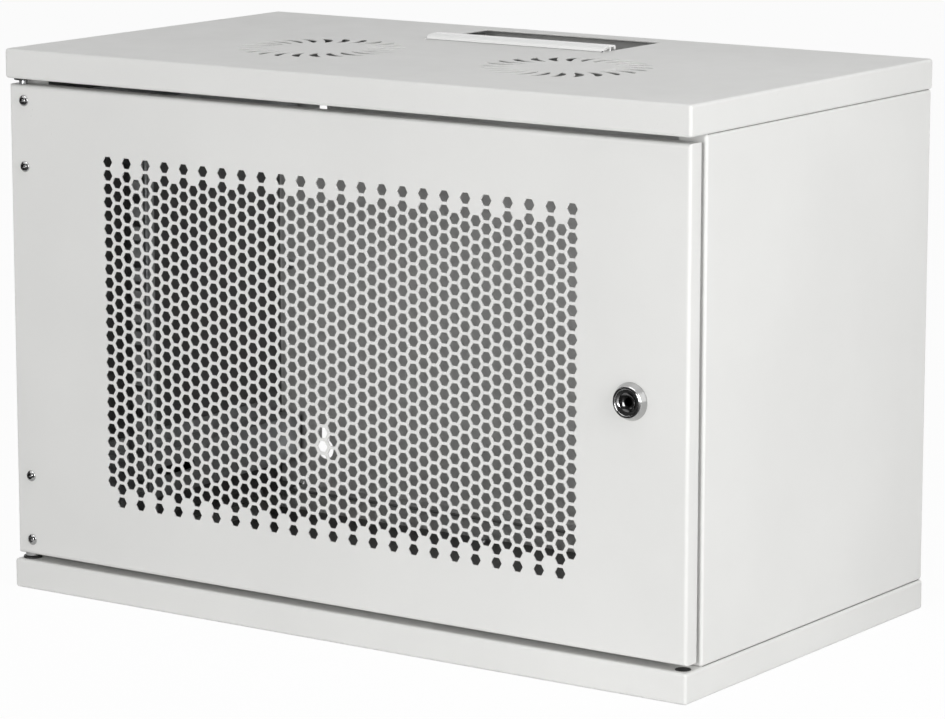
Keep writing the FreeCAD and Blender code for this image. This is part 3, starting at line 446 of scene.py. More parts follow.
finishes = {
    # Inside the cabinet this coat is darkened to about a quarter, as painted shade
    "grey_powder_coat": finish(
        "light grey powder coat", coat_texture, GREY, 0.42, 0.25, [("Inside Tone", 0.26)]
    ),
    "zinc_plate": finish(
        "zinc plate", metal_texture, (0.60, 0.61, 0.62), 0.34, 0.10, [("Mottle", 0.25)], Metallic=1.0
    ),
    "bright_chrome": finish(
        "bright chrome", metal_texture, (0.50, 0.50, 0.50), 0.05, 0.0, [("Mottle", 0.04)], Metallic=1.0
    ),
    "dark_chrome": finish(
        "dark chrome", metal_texture, (0.14, 0.14, 0.14), 0.14, 0.0, [("Mottle", 0.10)], Metallic=1.0
    ),
    "black_nylon": finish("black nylon", coat_texture, (0.018, 0.018, 0.018), 0.5, 0.2),
    "pale_plastic": finish(
        "pale plastic", coat_texture, (0.97, 0.97, 0.96), 0.22, 0.05,
        [("Scuff Tone", 0.95), ("Tone Drift", 0.02)],
    ),
}

# The pressed parts that keep the construction's own faces have no rounded edges to wear
carried_finishes = {
    # Inside the cabinet this coat too is darkened as painted shade
    "grey_powder_coat": finish(
        "powder coat with painted shade on inner plates", coat_texture, GREY, 0.42, 0.25,
        [("Inside Tone", 0.3), ("Edge Wear", 0.0)],
    ),
    "zinc_plate": finish(
        "zinc plate on pressed parts", metal_texture, (0.58, 0.59, 0.60), 0.36, 0.10,
        [("Mottle", 0.25), ("Edge Wear", 0.0)], Metallic=1.0,
    ),
}
# A lit copy of the coat: the back panel, which the light reaches through the door, gets only a little painted
# shade
back_panel_less_shaded_coat = finish(
    "powder coat with light painted shade on the back panel", coat_texture, GREY, 0.42, 0.25,
    [("Inside Tone", 0.84), ("Edge Wear", 0.0)],
)
for entry in frame["record"]["subparts"]:
    mesh = frame["nodes"][entry["node"]].data
    mesh.materials.clear()
    slot_name = entry["material_slot"]
    mesh.materials.append(carried_finishes.get(slot_name, finishes[slot_name]))
frame["nodes"]["back_panel"].data.materials[0] = back_panel_less_shaded_coat


# ---------------------------------------------------------------- making pieces


def piece(name, bm, place, slot_name, body, *nodes):
    """Places a finished bmesh in the cabinet, hangs it on the body that it rides on, gives it its finish and
    hides its nodes.
    """
    bmesh.ops.transform(bm, matrix=place, verts=bm.verts)
    mesh = bpy.data.meshes.new(name)
    bm.to_mesh(mesh)
    bm.free()
    for polygon in mesh.polygons:
        polygon.use_smooth = True
    mesh.set_sharp_from_angle(angle=math.radians(40))
    mesh.materials.append(finishes[slot_name])
    obj = bpy.data.objects.new(name, mesh)
    scene.collection.objects.link(obj)
    weighted = obj.modifiers.new("even shading", "WEIGHTED_NORMAL")
    weighted.keep_sharp = True
    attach(obj, body)
    if nodes:
        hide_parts(*nodes)
    return obj


def ring(bm, radius, steps, at, turn=0.0):
    """A closed outline of edges in the plane of the skin."""
    matrix = Matrix.Translation(Vector((at[0], at[1], at[2] if len(at) > 2 else 0.0)))
    matrix = matrix @ Matrix.Rotation(turn, 4, "Z")
    made = bmesh.ops.create_circle(bm, cap_ends=False, segments=steps, radius=radius, matrix=matrix)
    return made["verts"]


def window(bm, low, high, height):
    """A rectangular outline in the plane of the skin."""
    outline = ring(bm, 1.0, 4, (0, 0, height), math.radians(45))
    for vert in outline:
        vert.co.x = high[0] if vert.co.x > 0 else low[0]
        vert.co.y = high[1] if vert.co.y > 0 else low[1]
    return outline


def open_skin(bm, height, outlines):
    """Fills the flat skin at a height again, round the outlines of its holes."""
    skin = [face for face in bm.faces if all(abs(vert.co.z - height) < FLAT for vert in face.verts)]
    border = {edge for face in skin for edge in face.edges}
    normal = skin[0].normal.copy()
    bmesh.ops.delete(bm, geom=skin, context="FACES_ONLY")
    edges = list(border)
    for outline in outlines:
        edges += list({edge for vert in outline for edge in vert.link_edges})
    bmesh.ops.triangle_fill(bm, use_beauty=True, edges=edges, normal=normal)


def tray(size, bend, open_back=False, mitred=False):
    """Skin and bent walls: the skin lies at z = 0 and the walls run down to z = -size.z.

    The corners between walls are bent too, unless they are mitred.
    """
    bm = bmesh.new()
    bmesh.ops.create_cube(bm, size=1.0)
    bmesh.ops.scale(bm, vec=size, verts=bm.verts)
    bmesh.ops.translate(bm, vec=(0, 0, -size.z / 2), verts=bm.verts)
    if open_back:
        back = [face for face in bm.faces if face.normal.z < -0.5]
        bmesh.ops.delete(bm, geom=back, context="FACES")
    folds = [edge for edge in bm.edges if not edge.is_boundary]
    if mitred:
        folds = [edge for edge in folds if abs(edge.verts[0].co.z - edge.verts[1].co.z) < FLAT]
    bmesh.ops.bevel(
        bm, geom=folds, offset=bend, offset_type="OFFSET", segments=BEND_STEPS, profile=0.5,
        affect="EDGES", material=-1, clamp_overlap=True,
    )
    return bm


def break_edges(bm, width=EDGE_BREAK, steps=1, over=50):
    """Takes the sharpness off the cut edges, as a coat of paint does."""
    sharp = [edge for edge in bm.edges if edge.is_manifold and edge.calc_face_angle(0) > math.radians(over)]
    bmesh.ops.bevel(
        bm, geom=sharp, offset=width, offset_type="OFFSET", segments=steps, profile=0.5,
        affect="EDGES", material=-1, clamp_overlap=False,
    )


def thicken(bm, sheet=SHEET):
    bmesh.ops.recalc_face_normals(bm, faces=bm.faces[:])
    bmesh.ops.solidify(bm, geom=bm.faces[:], thickness=sheet)
    break_edges(bm)


def turned(profile, steps=48):
    """A round piece from (radius, height) points, heights along local Z."""
    bm = bmesh.new()
    verts = [bm.verts.new((radius, 0, height)) for radius, height in profile]
    edges = [bm.edges.new(pair) for pair in zip(verts, verts[1:])]
    bmesh.ops.spin(
        bm, geom=verts + edges, cent=(0, 0, 0), axis=(0, 0, 1), dvec=(0, 0, 0),
        angle=2 * math.pi, steps=steps, use_merge=True, use_duplicate=False,
    )
    bmesh.ops.remove_doubles(bm, verts=bm.verts[:], dist=FLAT)
    bmesh.ops.recalc_face_normals(bm, faces=bm.faces[:])
    return bm


# ---------------------------------------------------------------- trays, panels and door


def fan_outlines(bm, centre_x, centre_y, hand):
    """A ring of curved blade slots; hand is 1 or -1 for the way that they curl."""
    outlines = []
    for index in range(FAN_SLOTS):
        start = 2 * math.pi * index / FAN_SLOTS
        outline = ring(bm, 1.0, 16, (0, 0))
        for vert in outline:
            along = vert.co.x * SLOT_LENGTH / 2
            across = vert.co.y * SLOT_WIDTH / 2
            drift = hand * (SLOT_SLANT * along + SLOT_CURL * along * along)
            radius = SLOT_RADIUS + along
            angle = start + (drift + across) / SLOT_RADIUS
            vert.co = (centre_x + radius * math.cos(angle), centre_y + radius * math.sin(angle), 0)
        outlines.append(outline)
    return outlines


def lip_window(bm, size, up):
    """The opening inside a tray's lips; up is 1 where local Y points to the rear, -1 to the front."""
    front = -size.y / 2 + TRAY_LIPS["front"]
    rear = size.y / 2 - TRAY_LIPS["rear"]
    side = size.x / 2 - TRAY_LIPS["side"]
    span = (front, rear) if up > 0 else (-rear, -front)
    return window(bm, (-side, span[0]), (side, span[1]), -size.z)


def make_tray(name, node, side, up):
    place, size = skin_frame(node, side)
    bm = tray(size, TRAY_BEND)
    hinge = place.inverted() @ middle("lower_hinge_pin")
    entry = place.inverted() @ mount("roof_cable_entry")
    half_x, half_y = ENTRY_SIZE[0] / 2, ENTRY_SIZE[1] / 2
    outlines = [window(bm, (-half_x, entry.y - half_y), (half_x, entry.y + half_y), 0)]
    if node == "roof":
        fan_y = -size.y / 2 + FAN_FROM_FRONT
        outlines += fan_outlines(bm, -FAN_SPACING / 2, fan_y, 1)
        outlines += fan_outlines(bm, FAN_SPACING / 2, fan_y, -1)
    open_skin(bm, 0, outlines)
    holes = [ring(bm, SPARE_HINGE_RADIUS, 24, (sign * hinge.x, hinge.y, -size.z)) for sign in (-1, 1)]
    open_skin(bm, -size.z, [lip_window(bm, size, up)] + holes)
    thicken(bm)
    return piece(name, bm, place, "grey_powder_coat", "cabinet", node)


make_tray("roof_tray", "roof", "top", 1)
make_tray("floor_tray", "floor", "bottom", -1)


def make_side_panel(name, node, side):
    place, size = skin_frame(node, side)
    bm = tray(size, PANEL_BEND, open_back=True)
    thicken(bm)
    return piece(name, bm, place, "grey_powder_coat", "cabinet", node)


make_side_panel("left_side_skin", "left_side_panel", "left")
make_side_panel("right_side_skin", "right_side_panel", "right")


def hinge_screw_spots():
    """Middles of the four dome screws, two to a bracket, from the box round all of them."""
    low, high = corners("hinge_screws")
    x = (low.x + high.x) / 2
    bottom, top = low.z + DOME_RISE, high.z - DOME_RISE
    levels = [bottom, bottom + HINGE_SCREW_SPACING, top - HINGE_SCREW_SPACING, top]
    return [Vector((x, middle("door_panel").y, level)) for level in levels]


def make_door():
    place, size = skin_frame("door_panel", "front")
    bm = tray(size, DOOR_BEND, mitred=True)
    outlines = []
    top = ((FIELD_ROWS - 1 + COLUMN_DROP) * ROW_PITCH) / 2
    for column in range(FIELD_COLUMNS):
        x = (column - (FIELD_COLUMNS - 1) / 2) * COLUMN_PITCH
        drop = COLUMN_DROP * (column % 2)
        for row in range(FIELD_ROWS):
            y = top - (row + drop) * ROW_PITCH
            outlines.append(ring(bm, HOLE_FLATS / 2 / HEX_FLATS, 6, (x, y), math.pi / 6))
    to_local = place.inverted()
    for spot in hinge_screw_spots():
        local = to_local @ spot
        outlines.append(ring(bm, HINGE_SCREW_HOLE, 16, (local.x, local.y)))
    lock = to_local @ middle("lock_body")
    outlines.append(ring(bm, LOCK_HOLE, 48, (lock.x, lock.y)))
    open_skin(bm, 0, outlines)
    inner = size / 2 - Vector((DOOR_LIP, DOOR_LIP, 0))
    open_skin(bm, -size.z, [window(bm, (-inner.x, -inner.y), (inner.x, inner.y), -size.z)])
    thicken(bm)
    return piece("door_skin", bm, place, "grey_powder_coat", "door", "door_panel")


make_door()


# ---------------------------------------------------------------- lock and hinge hardware


def facing(side, x, y, z):
    """A matrix whose local Z points out of that side, at a place in the cabinet."""
    return Matrix.Translation(Vector((x, y, z))) @ OUTWARD[side].to_4x4()


def gather(parts):
    """One bmesh from several, each put in its own place."""
    whole = bmesh.new()
    for bm, place in parts:
        bmesh.ops.transform(bm, matrix=place, verts=bm.verts)
        mesh = bpy.data.meshes.new("part")
        bm.to_mesh(mesh)
        bm.free()
        whole.from_mesh(mesh)
        bpy.data.meshes.remove(mesh)
    return whole


def sink(bm, outline, depth, taper):
    """Closes the open top of a turned piece round an outline, and sinks the outline into it."""
    rim = [edge for edge in bm.edges if edge.is_boundary]
    edges = list({edge for vert in outline for edge in vert.link_edges})
    bmesh.ops.triangle_fill(bm, use_beauty=True, edges=rim + edges, normal=(0, 0, 1))
    wall = bmesh.ops.extrude_edge_only(bm, edges=edges)["geom"]
    verts = [item for item in wall if isinstance(item, bmesh.types.BMVert)]
    bmesh.ops.translate(bm, vec=(0, 0, -depth), verts=verts)
    bmesh.ops.scale(bm, vec=(taper, taper, 1), verts=verts)
    bottom = [item for item in wall if isinstance(item, bmesh.types.BMEdge)]
    bmesh.ops.triangle_fill(bm, use_beauty=True, edges=bottom, normal=(0, 0, 1))
    bmesh.ops.recalc_face_normals(bm, faces=bm.faces[:])


def star(bm, height, points, outer, inner):
    """An outline of alternate tips and hollows, for a screwdriver's recess."""
    outline = ring(bm, outer, 2 * points, (0, 0, height))
    bmesh.ops.scale(bm, vec=(inner / outer, inner / outer, 1), verts=outline[::2])
    return outline


def pan_screw(length, radius=PAN_RADIUS, head=PAN_HEAD, shank=PAN_SHANK):
    """A pan-head screw with a cross recess; its seat lies at local Z 0."""
    bm = turned(
        [
            (0, -length), (shank - 0.4 * MM, -length), (shank, 0.4 * MM - length), (shank, 0),
            (radius - 0.2 * MM, 0), (radius, 0.2 * MM), (radius, 0.45 * head), (0.93 * radius, 0.7 * head),
            (0.8 * radius, 0.9 * head), (0.66 * radius, head),
        ],
        steps=32,
    )
    sink(bm, star(bm, head, 4, 0.52 * radius, 0.18 * radius), 0.7 * head, 0.55)
    return bm


def hex_nut(flats, height, bore):
    """A chamfered nut; its seat lies at local Z 0."""
    bm = bmesh.new()
    radius = flats / 2 / HEX_FLATS
    bmesh.ops.create_cone(
        bm, cap_ends=True, segments=6, radius1=radius, radius2=radius, depth=height,
        matrix=Matrix.Translation((0, 0, height / 2)),
    )
    for level in (0, height):
        open_skin(bm, level, [ring(bm, bore, 24, (0, 0, level))])
    bores = [edge for edge in bm.edges if edge.is_boundary]
    bmesh.ops.bridge_loops(bm, edges=bores)
    bmesh.ops.recalc_face_normals(bm, faces=bm.faces[:])
    break_edges(bm, 0.35 * MM, 2, 40)
    return bm


def mirrored_x(places):
    """The same places on both sides of the cabinet."""
    return [(sign * x, y, z) for x, y, z in places for sign in (-1, 1)]


def make_lock():
    low, high = corners("lock_body")
    skin = corners("door_panel")[0].y
    axis = middle("lock_body")
    depth = skin - low.y
    tail = high.y - skin
    bezel = turned(
        [
            (6.3 * MM, -tail), (8.9 * MM, -tail), (9.2 * MM, 0.3 * MM - tail), (9.2 * MM, 0),
            (11.7 * MM, 0), (12.0 * MM, 0.25 * MM), (12.0 * MM, 0.7 * MM), (11.8 * MM, 1.0 * MM),
            (10.45 * MM, depth - 1.2 * MM), (10.25 * MM, depth - 0.7 * MM), (9.9 * MM, depth - 0.3 * MM),
            (9.5 * MM, depth - 0.06 * MM), (9.1 * MM, depth), (8.65 * MM, depth),
            (8.42 * MM, depth - 0.1 * MM), (8.25 * MM, depth - 0.3 * MM),
            (8.15 * MM, depth - 0.65 * MM), (8.0 * MM, depth - 0.95 * MM),
            (7.2 * MM, depth - 1.15 * MM), (6.3 * MM, depth - 1.45 * MM), (6.3 * MM, -tail),
        ],
        steps=96,
    )
    place = facing("front", axis.x, skin, axis.z)
    piece("lock_bezel", bezel, place, "bright_chrome", "door", "lock_body")

    plug_tail = corners("lock_plug")[1].y - skin
    top = depth - 3.1 * MM
    plug = turned(
        [
            (0, 2.1 * MM - plug_tail), (6.2 * MM, 2.1 * MM - plug_tail), (6.2 * MM, top + 1.45 * MM),
            (6.05 * MM, top + 1.48 * MM), (5.4 * MM, top + 1.0 * MM), (4.6 * MM, top + 0.5 * MM),
            (3.8 * MM, top + 0.15 * MM), (3.3 * MM, top),
        ],
        steps=64,
    )
    key = ring(plug, 2.6 * MM, 32, (0, 0, top))
    for vert in key:
        if abs(vert.co.x) < 0.8 * MM:
            vert.co.y += math.copysign(0.3 * MM, vert.co.y)
    sink(plug, key, 9.0 * MM, 1.0)
    square = bmesh.new()
    bmesh.ops.create_cube(square, size=1.0)
    bmesh.ops.scale(square, vec=(7.0 * MM, 7.0 * MM, 3.0 * MM), verts=square.verts)
    break_edges(square, 0.3 * MM)
    whole = gather([(plug, place), (square, place @ Matrix.Translation((0, 0, 1.5 * MM - plug_tail)))])
    piece("lock_plug_turned", whole, Matrix(), "dark_chrome", "lock", "lock_plug")

    nut_low, nut_high = corners("lock_nut")
    nut = hex_nut(nut_high.z - nut_low.z, nut_high.y - nut_low.y, 9.25 * MM)
    piece("lock_ring_nut", nut, facing("rear", axis.x, nut_low.y, axis.z), "zinc_plate", "door", "lock_nut")

    cam_back = corners("lock_cam")[1].y
    screw = pan_screw(5.0 * MM, 4.6 * MM, 2.6 * MM)
    piece("cam_fixing", screw, facing("rear", axis.x, cam_back, axis.z), "zinc_plate", "lock", "cam_screw")


make_lock()


def dome_screw(height, tail):
    """A low dome with a six-lobed recess; its seat lies at local Z 0."""
    bm = turned(
        [
            (0, -tail), (1.6 * MM, -tail), (DOME_SHANK, 0.4 * MM - tail), (DOME_SHANK, 0), (3.65 * MM, 0),
            (DOME_RADIUS, 0.15 * MM), (3.75 * MM, 0.5 * MM), (3.5 * MM, 0.95 * MM), (3.1 * MM, 1.35 * MM),
            (2.75 * MM, 1.62 * MM), (2.45 * MM, height - 0.12 * MM), (2.25 * MM, height),
        ],
        steps=40,
    )
    sink(bm, star(bm, height, 6, 2.1 * MM, 1.65 * MM), 2.2 * MM, 0.85)
    return bm


def make_dome_screws():
    low, high = corners("hinge_screws")
    skin = corners("door_panel")[0].y
    screws = [
        (dome_screw(skin - low.y, high.y - skin), facing("front", spot.x, skin, spot.z))
        for spot in hinge_screw_spots()
    ]
    piece("dome_screws", gather(screws), Matrix(), "bright_chrome", "door", "hinge_screws")


make_dome_screws()


def make_hinges():
    """Bushes in both trays, the fixed pin below, the sprung pin above and its coil."""
    axis = middle("lower_hinge_pin")
    bushes = (("lower_bush", "lower_hinge_bush", "bottom"), ("upper_bush", "upper_hinge_bush", "top"))
    for name, node, side in bushes:
        low, high = corners(node)
        flange = BUSH_FLANGE
        length = high.z - low.z - flange
        bush = turned(
            [
                (BUSH_BORE, -flange), (3.3 * MM, -flange), (6.1 * MM, -flange), (6.4 * MM, 0.3 * MM - flange),
                (6.4 * MM, 0), (BUSH_RADIUS, 0), (BUSH_RADIUS, length - 0.6 * MM), (4.5 * MM, length),
                (BUSH_BORE, length), (BUSH_BORE, -flange),
            ],
            steps=48,
        )
        face = high.z - flange if side == "bottom" else low.z + flange
        stopper = turned(
            [
                (0, 2.4 * MM), (4.6 * MM, 2.4 * MM), (4.6 * MM, 3.4 * MM), (4.97 * MM, 3.4 * MM),
                (4.97 * MM, 0.9 * MM), (4.97 * MM, -0.2 * MM), (0, -0.2 * MM),
            ],
            steps=40,
        )
        whole = gather([
            (bush, facing(side, axis.x, axis.y, face)),
            (stopper, facing(side, -axis.x, axis.y, face)),
        ])
        piece(name, whole, Matrix(), "black_nylon", "cabinet", node)

    low, high = corners("lower_hinge_pin")
    door_low = corners("door_panel")[0].z
    collar = door_low - corners("lower_hinge_bush")[1].z
    pin = turned(
        [
            (0, low.z - door_low), (2.4 * MM, low.z - door_low), (PIN_RADIUS, low.z - door_low + 0.6 * MM),
            (PIN_RADIUS, 0.1 * MM - collar), (4.4 * MM, 0.1 * MM - collar), (4.8 * MM, 0.4 * MM - collar),
            (4.8 * MM, -0.3 * MM), (4.5 * MM, 0), (PIN_RADIUS, 0), (PIN_RADIUS, high.z - door_low - 0.5 * MM),
            (2.5 * MM, high.z - door_low), (0, high.z - door_low),
        ],
        steps=48,
    )
    place = Matrix.Translation((axis.x, axis.y, door_low))
    piece("lower_pin", pin, place, "bright_chrome", "door", "lower_hinge_pin")

    low, high = corners("upper_hinge_pin")
    foot = low.z + PIN_RADIUS
    shoulder = corners("upper_hinge_spring")[1].z
    pin = turned(
        [
            (0, 0), (PIN_RADIUS, 0), (PIN_RADIUS, shoulder - foot), (3.9 * MM, shoulder - foot),
            (4.1 * MM, shoulder - foot + 0.2 * MM), (4.1 * MM, shoulder - foot + 1.8 * MM),
            (3.9 * MM, shoulder - foot + 2.0 * MM), (PIN_RADIUS, shoulder - foot + 2.0 * MM),
            (PIN_RADIUS, high.z - foot - 0.8 * MM), (2.3 * MM, high.z - foot), (0, high.z - foot),
        ],
        steps=32,
    )
    arm = turned(
        [
            (0, -PIN_RADIUS), (2.2 * MM, -PIN_RADIUS), (PIN_RADIUS, -2.2 * MM), (PIN_RADIUS, 11.3 * MM),
            (2.4 * MM, 12.0 * MM), (0, 12.0 * MM),
        ],
        steps=32,
    )
    whole = gather([
        (pin, Matrix.Translation((axis.x, axis.y, foot))),
        (arm, facing("right", axis.x, axis.y, foot)),
    ])
    piece("upper_pin", whole, Matrix(), "zinc_plate", "hinge_pin", "upper_hinge_pin")

    low, high = corners("upper_hinge_spring")
    wire, turns, steps = SPRING_WIRE, SPRING_TURNS, 20
    coil = bmesh.new()
    section = bmesh.ops.create_circle(
        coil, cap_ends=True, segments=8, radius=wire,
        matrix=Matrix.Translation((SPRING_RADIUS, 0, wire)) @ Matrix.Rotation(math.radians(90), 4, "X"),
    )
    rise = (high.z - low.z - 2 * wire) / (turns * steps)
    bmesh.ops.spin(
        coil, geom=section["verts"] + coil.edges[:] + coil.faces[:], cent=(0, 0, 0), axis=(0, 0, 1),
        dvec=(0, 0, rise), angle=2 * math.pi * turns, steps=turns * steps, use_duplicate=False,
    )
    bmesh.ops.recalc_face_normals(coil, faces=coil.faces[:])
    place = Matrix.Translation((axis.x, axis.y, low.z))
    spring = piece("pin_spring", coil, place, "zinc_plate", "door", "upper_hinge_spring")
    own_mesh(spring)


make_hinges()


def make_screw_rows():
    """Pan-head screws that hold the side panels, the back panel and the blanking plate."""
    low, high = corners("panel_screws")
    x = high.x - PAN_RADIUS
    floor_seat, roof_seat = low.z + PANEL_SCREW_LENGTH, high.z - PANEL_SCREW_LENGTH
    screws = []
    for x_side, y, _ in mirrored_x([(x, low.y + PAN_RISE, 0), (x, high.y - PAN_RISE, 0)]):
        screws.append((pan_screw(PANEL_SCREW_LENGTH), facing("top", x_side, y, floor_seat)))
        screws.append((pan_screw(PANEL_SCREW_LENGTH), facing("bottom", x_side, y, roof_seat)))
    piece("panel_fixings", gather(screws), Matrix(), "zinc_plate", "cabinet", "panel_screws")

    low, high = corners("back_screws")
    seat = low.y + PAN_HEAD
    levels = (low.z + PAN_RISE, (low.z + high.z) / 2, high.z - PAN_RISE)
    places = mirrored_x([(high.x - PAN_RADIUS, seat, level) for level in levels])
    screws = [(pan_screw(high.y - seat), facing("front", *spot)) for spot in places]
    piece("back_fixings", gather(screws), Matrix(), "zinc_plate", "cabinet", "back_screws")

    low, high = corners("blank_screws")
    seat = high.z - PAN_HEAD
    rows = (low.y + PAN_RISE, high.y - PAN_RISE)
    places = mirrored_x([(high.x - PAN_RADIUS, row, seat) for row in rows])
    screws = [(pan_screw(seat - low.z), facing("top", *spot)) for spot in places]
    piece("blank_fixings", gather(screws), Matrix(), "zinc_plate", "cabinet", "blank_screws")


def make_rail_bolts():
    """Bolts that hold the rack rails to their supports, and the nuts behind them."""
    seat = corners("left_rack_rail")[0].x + HEAVY_SHEET
    y = middle("rail_bolts").y
    low, high = corners("rail_bolts")
    screws, nuts = [], []
    for level in (low.z + RAIL_BOLT_HEAD_RADIUS, high.z - RAIL_BOLT_HEAD_RADIUS):
        for side, back, sign in (("right", "left", 1), ("left", "right", -1)):
            head = (RAIL_BOLT_HEAD_RADIUS, RAIL_BOLT_HEAD_HEIGHT)
            bolt = pan_screw(RAIL_BOLT_LENGTH, *head, THREAD_RADIUS)
            screws.append((bolt, facing(side, sign * seat, y, level)))
            nut = hex_nut(NUT_FLATS, NUT_HEIGHT, THREAD_RADIUS)
            nuts.append((nut, facing(back, sign * (seat - 2 * HEAVY_SHEET), y, level)))
    piece("rail_screws", gather(screws), Matrix(), "zinc_plate", "cabinet", "rail_bolts")
    piece("rail_hex_nuts", gather(nuts), Matrix(), "zinc_plate", "cabinet", "rail_nuts")


def make_earth_stud():
    low, high = corners("earth_stud")
    stud = middle("earth_stud")
    length = high.z - low.z
    profile = [(0, 0), (2.5 * MM, 0)]
    for turn in range(int(length / THREAD_PITCH) - 1):
        profile += [(THREAD_RADIUS, (turn + 0.5) * THREAD_PITCH), (THREAD_ROOT, (turn + 1) * THREAD_PITCH)]
    profile += [(2.2 * MM, length), (0, length)]
    bm = turned(profile, steps=24)
    piece("earth_thread", bm, facing("top", stud.x, stud.y, low.z), "zinc_plate", "cabinet", "earth_stud")
    low, high = corners("earth_nut")
    nut = hex_nut(NUT_FLATS, high.z - low.z, EARTH_NUT_BORE)
    piece("earth_hex_nut", nut, facing("top", stud.x, stud.y, low.z), "zinc_plate", "cabinet", "earth_nut")


make_screw_rows()
make_rail_bolts()
make_earth_stud()


def run_of(bm, profile, length):
    """A strip along the cabinet's width from (y, z) points, centred on x = 0."""
    verts = [bm.verts.new((-length / 2, y, z)) for y, z in profile]
    edges = [bm.edges.new(pair) for pair in zip(verts, verts[1:])]
    made = bmesh.ops.extrude_edge_only(bm, edges=edges)["geom"]
    moved = [item for item in made if isinstance(item, bmesh.types.BMVert)]
    bmesh.ops.translate(bm, vec=(length, 0, 0), verts=moved)


def make_handle():
    """The crowned grip of the cable entry's cover, with its web and its hooked front lip."""
    low, high = corners("cover_handle")
    cover_top = corners("cable_cover")[1].z
    under = low.z + 1.8 * MM
    grip = bmesh.new()
    arc = [
        (low.y + 8.8 * MM - 7.9 * MM * math.sin(turn), high.z - 3.0 * MM * (1 - math.cos(turn)))
        for turn in [math.radians(angle) for angle in range(0, 91, 9)]
    ]
    front = [(low.y + 1.9 * MM, under + 0.1 * MM), (low.y + 0.3 * MM, under)] + arc[::-1]
    rear = [
        (high.y - 1.5 * MM, high.z), (high.y - 0.75 * MM, high.z - 0.15 * MM),
        (high.y - 0.2 * MM, high.z - 0.6 * MM), (high.y, high.z - 1.3 * MM), (high.y, under),
    ]
    run_of(grip, front + rear, high.x - low.x)
    bmesh.ops.recalc_face_normals(grip, faces=grip.faces[:])
    upward = sum(face.normal.z for face in grip.faces)
    if upward < 0:
        bmesh.ops.reverse_faces(grip, faces=grip.faces[:])
    bmesh.ops.solidify(grip, geom=grip.faces[:], thickness=GRIP_WALL)
    break_edges(grip, 0.25 * MM, 2)
    web_top = high.z - WEB_UNDER_TOP
    web = bmesh.new()
    bmesh.ops.create_cube(web, size=1.0)
    size = (high.x - low.x - 2 * WEB_SIDE_GAP, WEB_WALL, web_top - cover_top)
    bmesh.ops.scale(web, vec=size, verts=web.verts)
    break_edges(web)
    web_middle = Matrix.Translation((0, low.y + WEB_FROM_FRONT, (web_top + cover_top) / 2))
    whole = gather([(grip, Matrix()), (web, web_middle)])
    piece("entry_handle", whole, Matrix(), "pale_plastic", "cover", "cover_handle")


make_handle()


# ---------------------------------------------------------------- studio


def lamp(name, side, height, distance, size, share, spread=180):
    """A softbox aimed at the cabinet.

    Side and height are angles, and share is the lamp's part of a plain white light.
    """
    light = bpy.data.lights.new(name, "AREA")
    light.shape = "RECTANGLE"
    light.size, light.size_y = size
    light.spread = math.radians(spread)
    light.energy = share * (math.pi * distance) ** 2
    obj = bpy.data.objects.new(name, light)
    aim = Vector((0, 0, middle("door_panel").z))
    turn = Matrix.Rotation(math.radians(side), 4, "Z") @ Matrix.Rotation(math.radians(90 - height), 4, "X")
    obj.matrix_world = Matrix.Translation(aim) @ turn @ Matrix.Translation((0, 0, distance))
    scene.collection.objects.link(obj)


lamp("right softbox", side=78, height=20, distance=1.7, size=(1.2, 1.2), share=0.58)
lamp("front softbox", side=13, height=6, distance=2.6, size=(0.8, 1.2), share=0.465)
lamp("left softbox", side=-50, height=10, distance=3.0, size=(1.2, 1.2), share=0.10)
lamp("overhead softbox", side=20, height=80, distance=2.5, size=(1.6, 1.6), share=0.29)

black_cloth = bpy.data.materials.new("black cloth")
black_cloth.use_nodes = True
black_cloth.node_tree.nodes["Principled BSDF"].inputs["Base Color"].default_value = (0.01, 0.01, 0.01, 1)


def hang_cloth(name, bm):
    """A dark cloth that only polished metal sees."""
    mesh = bpy.data.meshes.new(name)
    bm.to_mesh(mesh)
    bm.free()
    mesh.materials.append(black_cloth)
    flag = bpy.data.objects.new(name, mesh)
    scene.collection.objects.link(flag)
    flag.visible_camera = False
    flag.visible_diffuse = False
    flag.visible_shadow = False
    flag.visible_transmission = False
    flag.visible_volume_scatter = False


def make_flag(name, first, last, radius, low, high):
    """A wall of cloth round the front of the set, from the first angle to the last."""
    bm = bmesh.new()
    bottom = bm.verts.new((0, -radius, low))
    top = bm.verts.new((0, -radius, high))
    edge = bm.edges.new((bottom, top))
    bmesh.ops.rotate(bm, verts=bm.verts, cent=(0, 0, 0), matrix=Matrix.Rotation(math.radians(first), 3, "Z"))
    bmesh.ops.spin(
        bm, geom=[bottom, top, edge], cent=(0, 0, 0), axis=(0, 0, 1), dvec=(0, 0, 0),
        angle=math.radians(last - first), steps=24, use_duplicate=False,
    )
    hang_cloth(name, bm)


def make_floor_flag(name, low, high, level):
    """A sheet of cloth laid in front of the cabinet."""
    bm = bmesh.new()
    window(bm, low, high, level)
    bmesh.ops.triangle_fill(bm, use_beauty=True, edges=bm.edges[:], normal=(0, 0, 1))
    hang_cloth(name, bm)


make_flag("front_flag", first=-100, last=62, radius=2.9, low=-0.2, high=2.7)
make_floor_flag("floor_flag", low=(-3.0, -3.0), high=(1.2, -0.26), level=0.001)

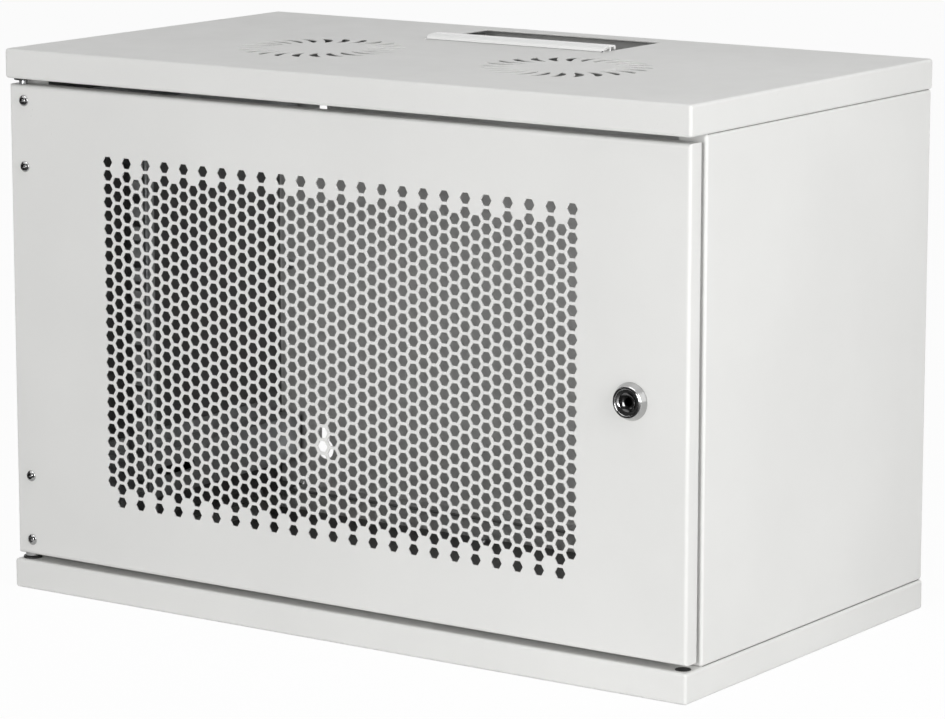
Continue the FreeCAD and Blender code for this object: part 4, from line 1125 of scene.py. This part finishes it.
world = bpy.data.worlds.new("studio")
scene.world = world
world.use_nodes = True
tree = world.node_tree
background = tree.nodes["Background"]
path = add(tree, "ShaderNodeLightPath")
seen = add(tree, "ShaderNodeMath", operation="MAXIMUM")
seen_through = add(tree, "ShaderNodeMath", operation="MAXIMUM")
level = add(tree, "ShaderNodeMapRange")
level.inputs["To Min"].default_value = ROOM_LIGHT
level.inputs["To Max"].default_value = 1.0
feed(
    tree,
    (path.outputs["Is Camera Ray"], seen.inputs[0]),
    (path.outputs["Is Glossy Ray"], seen.inputs[1]),
    (seen.outputs[0], seen_through.inputs[0]),
    (path.outputs["Is Transmission Ray"], seen_through.inputs[1]),
    (seen_through.outputs[0], level.inputs["Value"]),
    (level.outputs["Result"], background.inputs["Strength"]),
)
background.inputs["Color"].default_value = (1, 1, 1, 1)


def make_floor():
    bm = bmesh.new()
    bmesh.ops.create_grid(bm, x_segments=1, y_segments=1, size=8.0)
    mesh = bpy.data.meshes.new("studio_floor")
    bm.to_mesh(mesh)
    bm.free()
    floor = bpy.data.objects.new("studio_floor", mesh)
    scene.collection.objects.link(floor)
    material = bpy.data.materials.new("white studio floor")
    material.use_nodes = True
    tree = material.node_tree
    tree.nodes.remove(tree.nodes["Principled BSDF"])
    matt = add(tree, "ShaderNodeBsdfDiffuse")
    matt.inputs["Color"].default_value = FLOOR_WHITE
    glow = add(tree, "ShaderNodeEmission")
    glow.inputs["Color"].default_value = (1, 1, 1, 1)
    path = add(tree, "ShaderNodeLightPath")
    share = add(tree, "ShaderNodeMath", operation="MULTIPLY")
    share.inputs[1].default_value = FLOOR_GLOW
    mix = add(tree, "ShaderNodeMixShader")
    output = tree.nodes["Material Output"]
    feed(
        tree,
        (path.outputs["Is Camera Ray"], share.inputs[0]),
        (share.outputs[0], mix.inputs["Fac"]),
        (matt.outputs[0], mix.inputs[1]),
        (glow.outputs[0], mix.inputs[2]),
        (mix.outputs[0], output.inputs["Surface"]),
    )
    mesh.materials.append(material)


make_floor()

camera_data = bpy.data.cameras.new("camera")
camera_data.sensor_fit = "HORIZONTAL"
camera_data.sensor_width = 36.0
camera_data.lens = 156.49
camera_data.clip_end = 50.0
camera = bpy.data.objects.new("camera", camera_data)
camera.location = (1.55035, -2.22005, 0.67111)
camera.rotation_euler = (math.radians(90 - 10.609), 0, math.radians(34.806))
scene.collection.objects.link(camera)
scene.camera = camera

scene.view_settings.view_transform = "Standard"
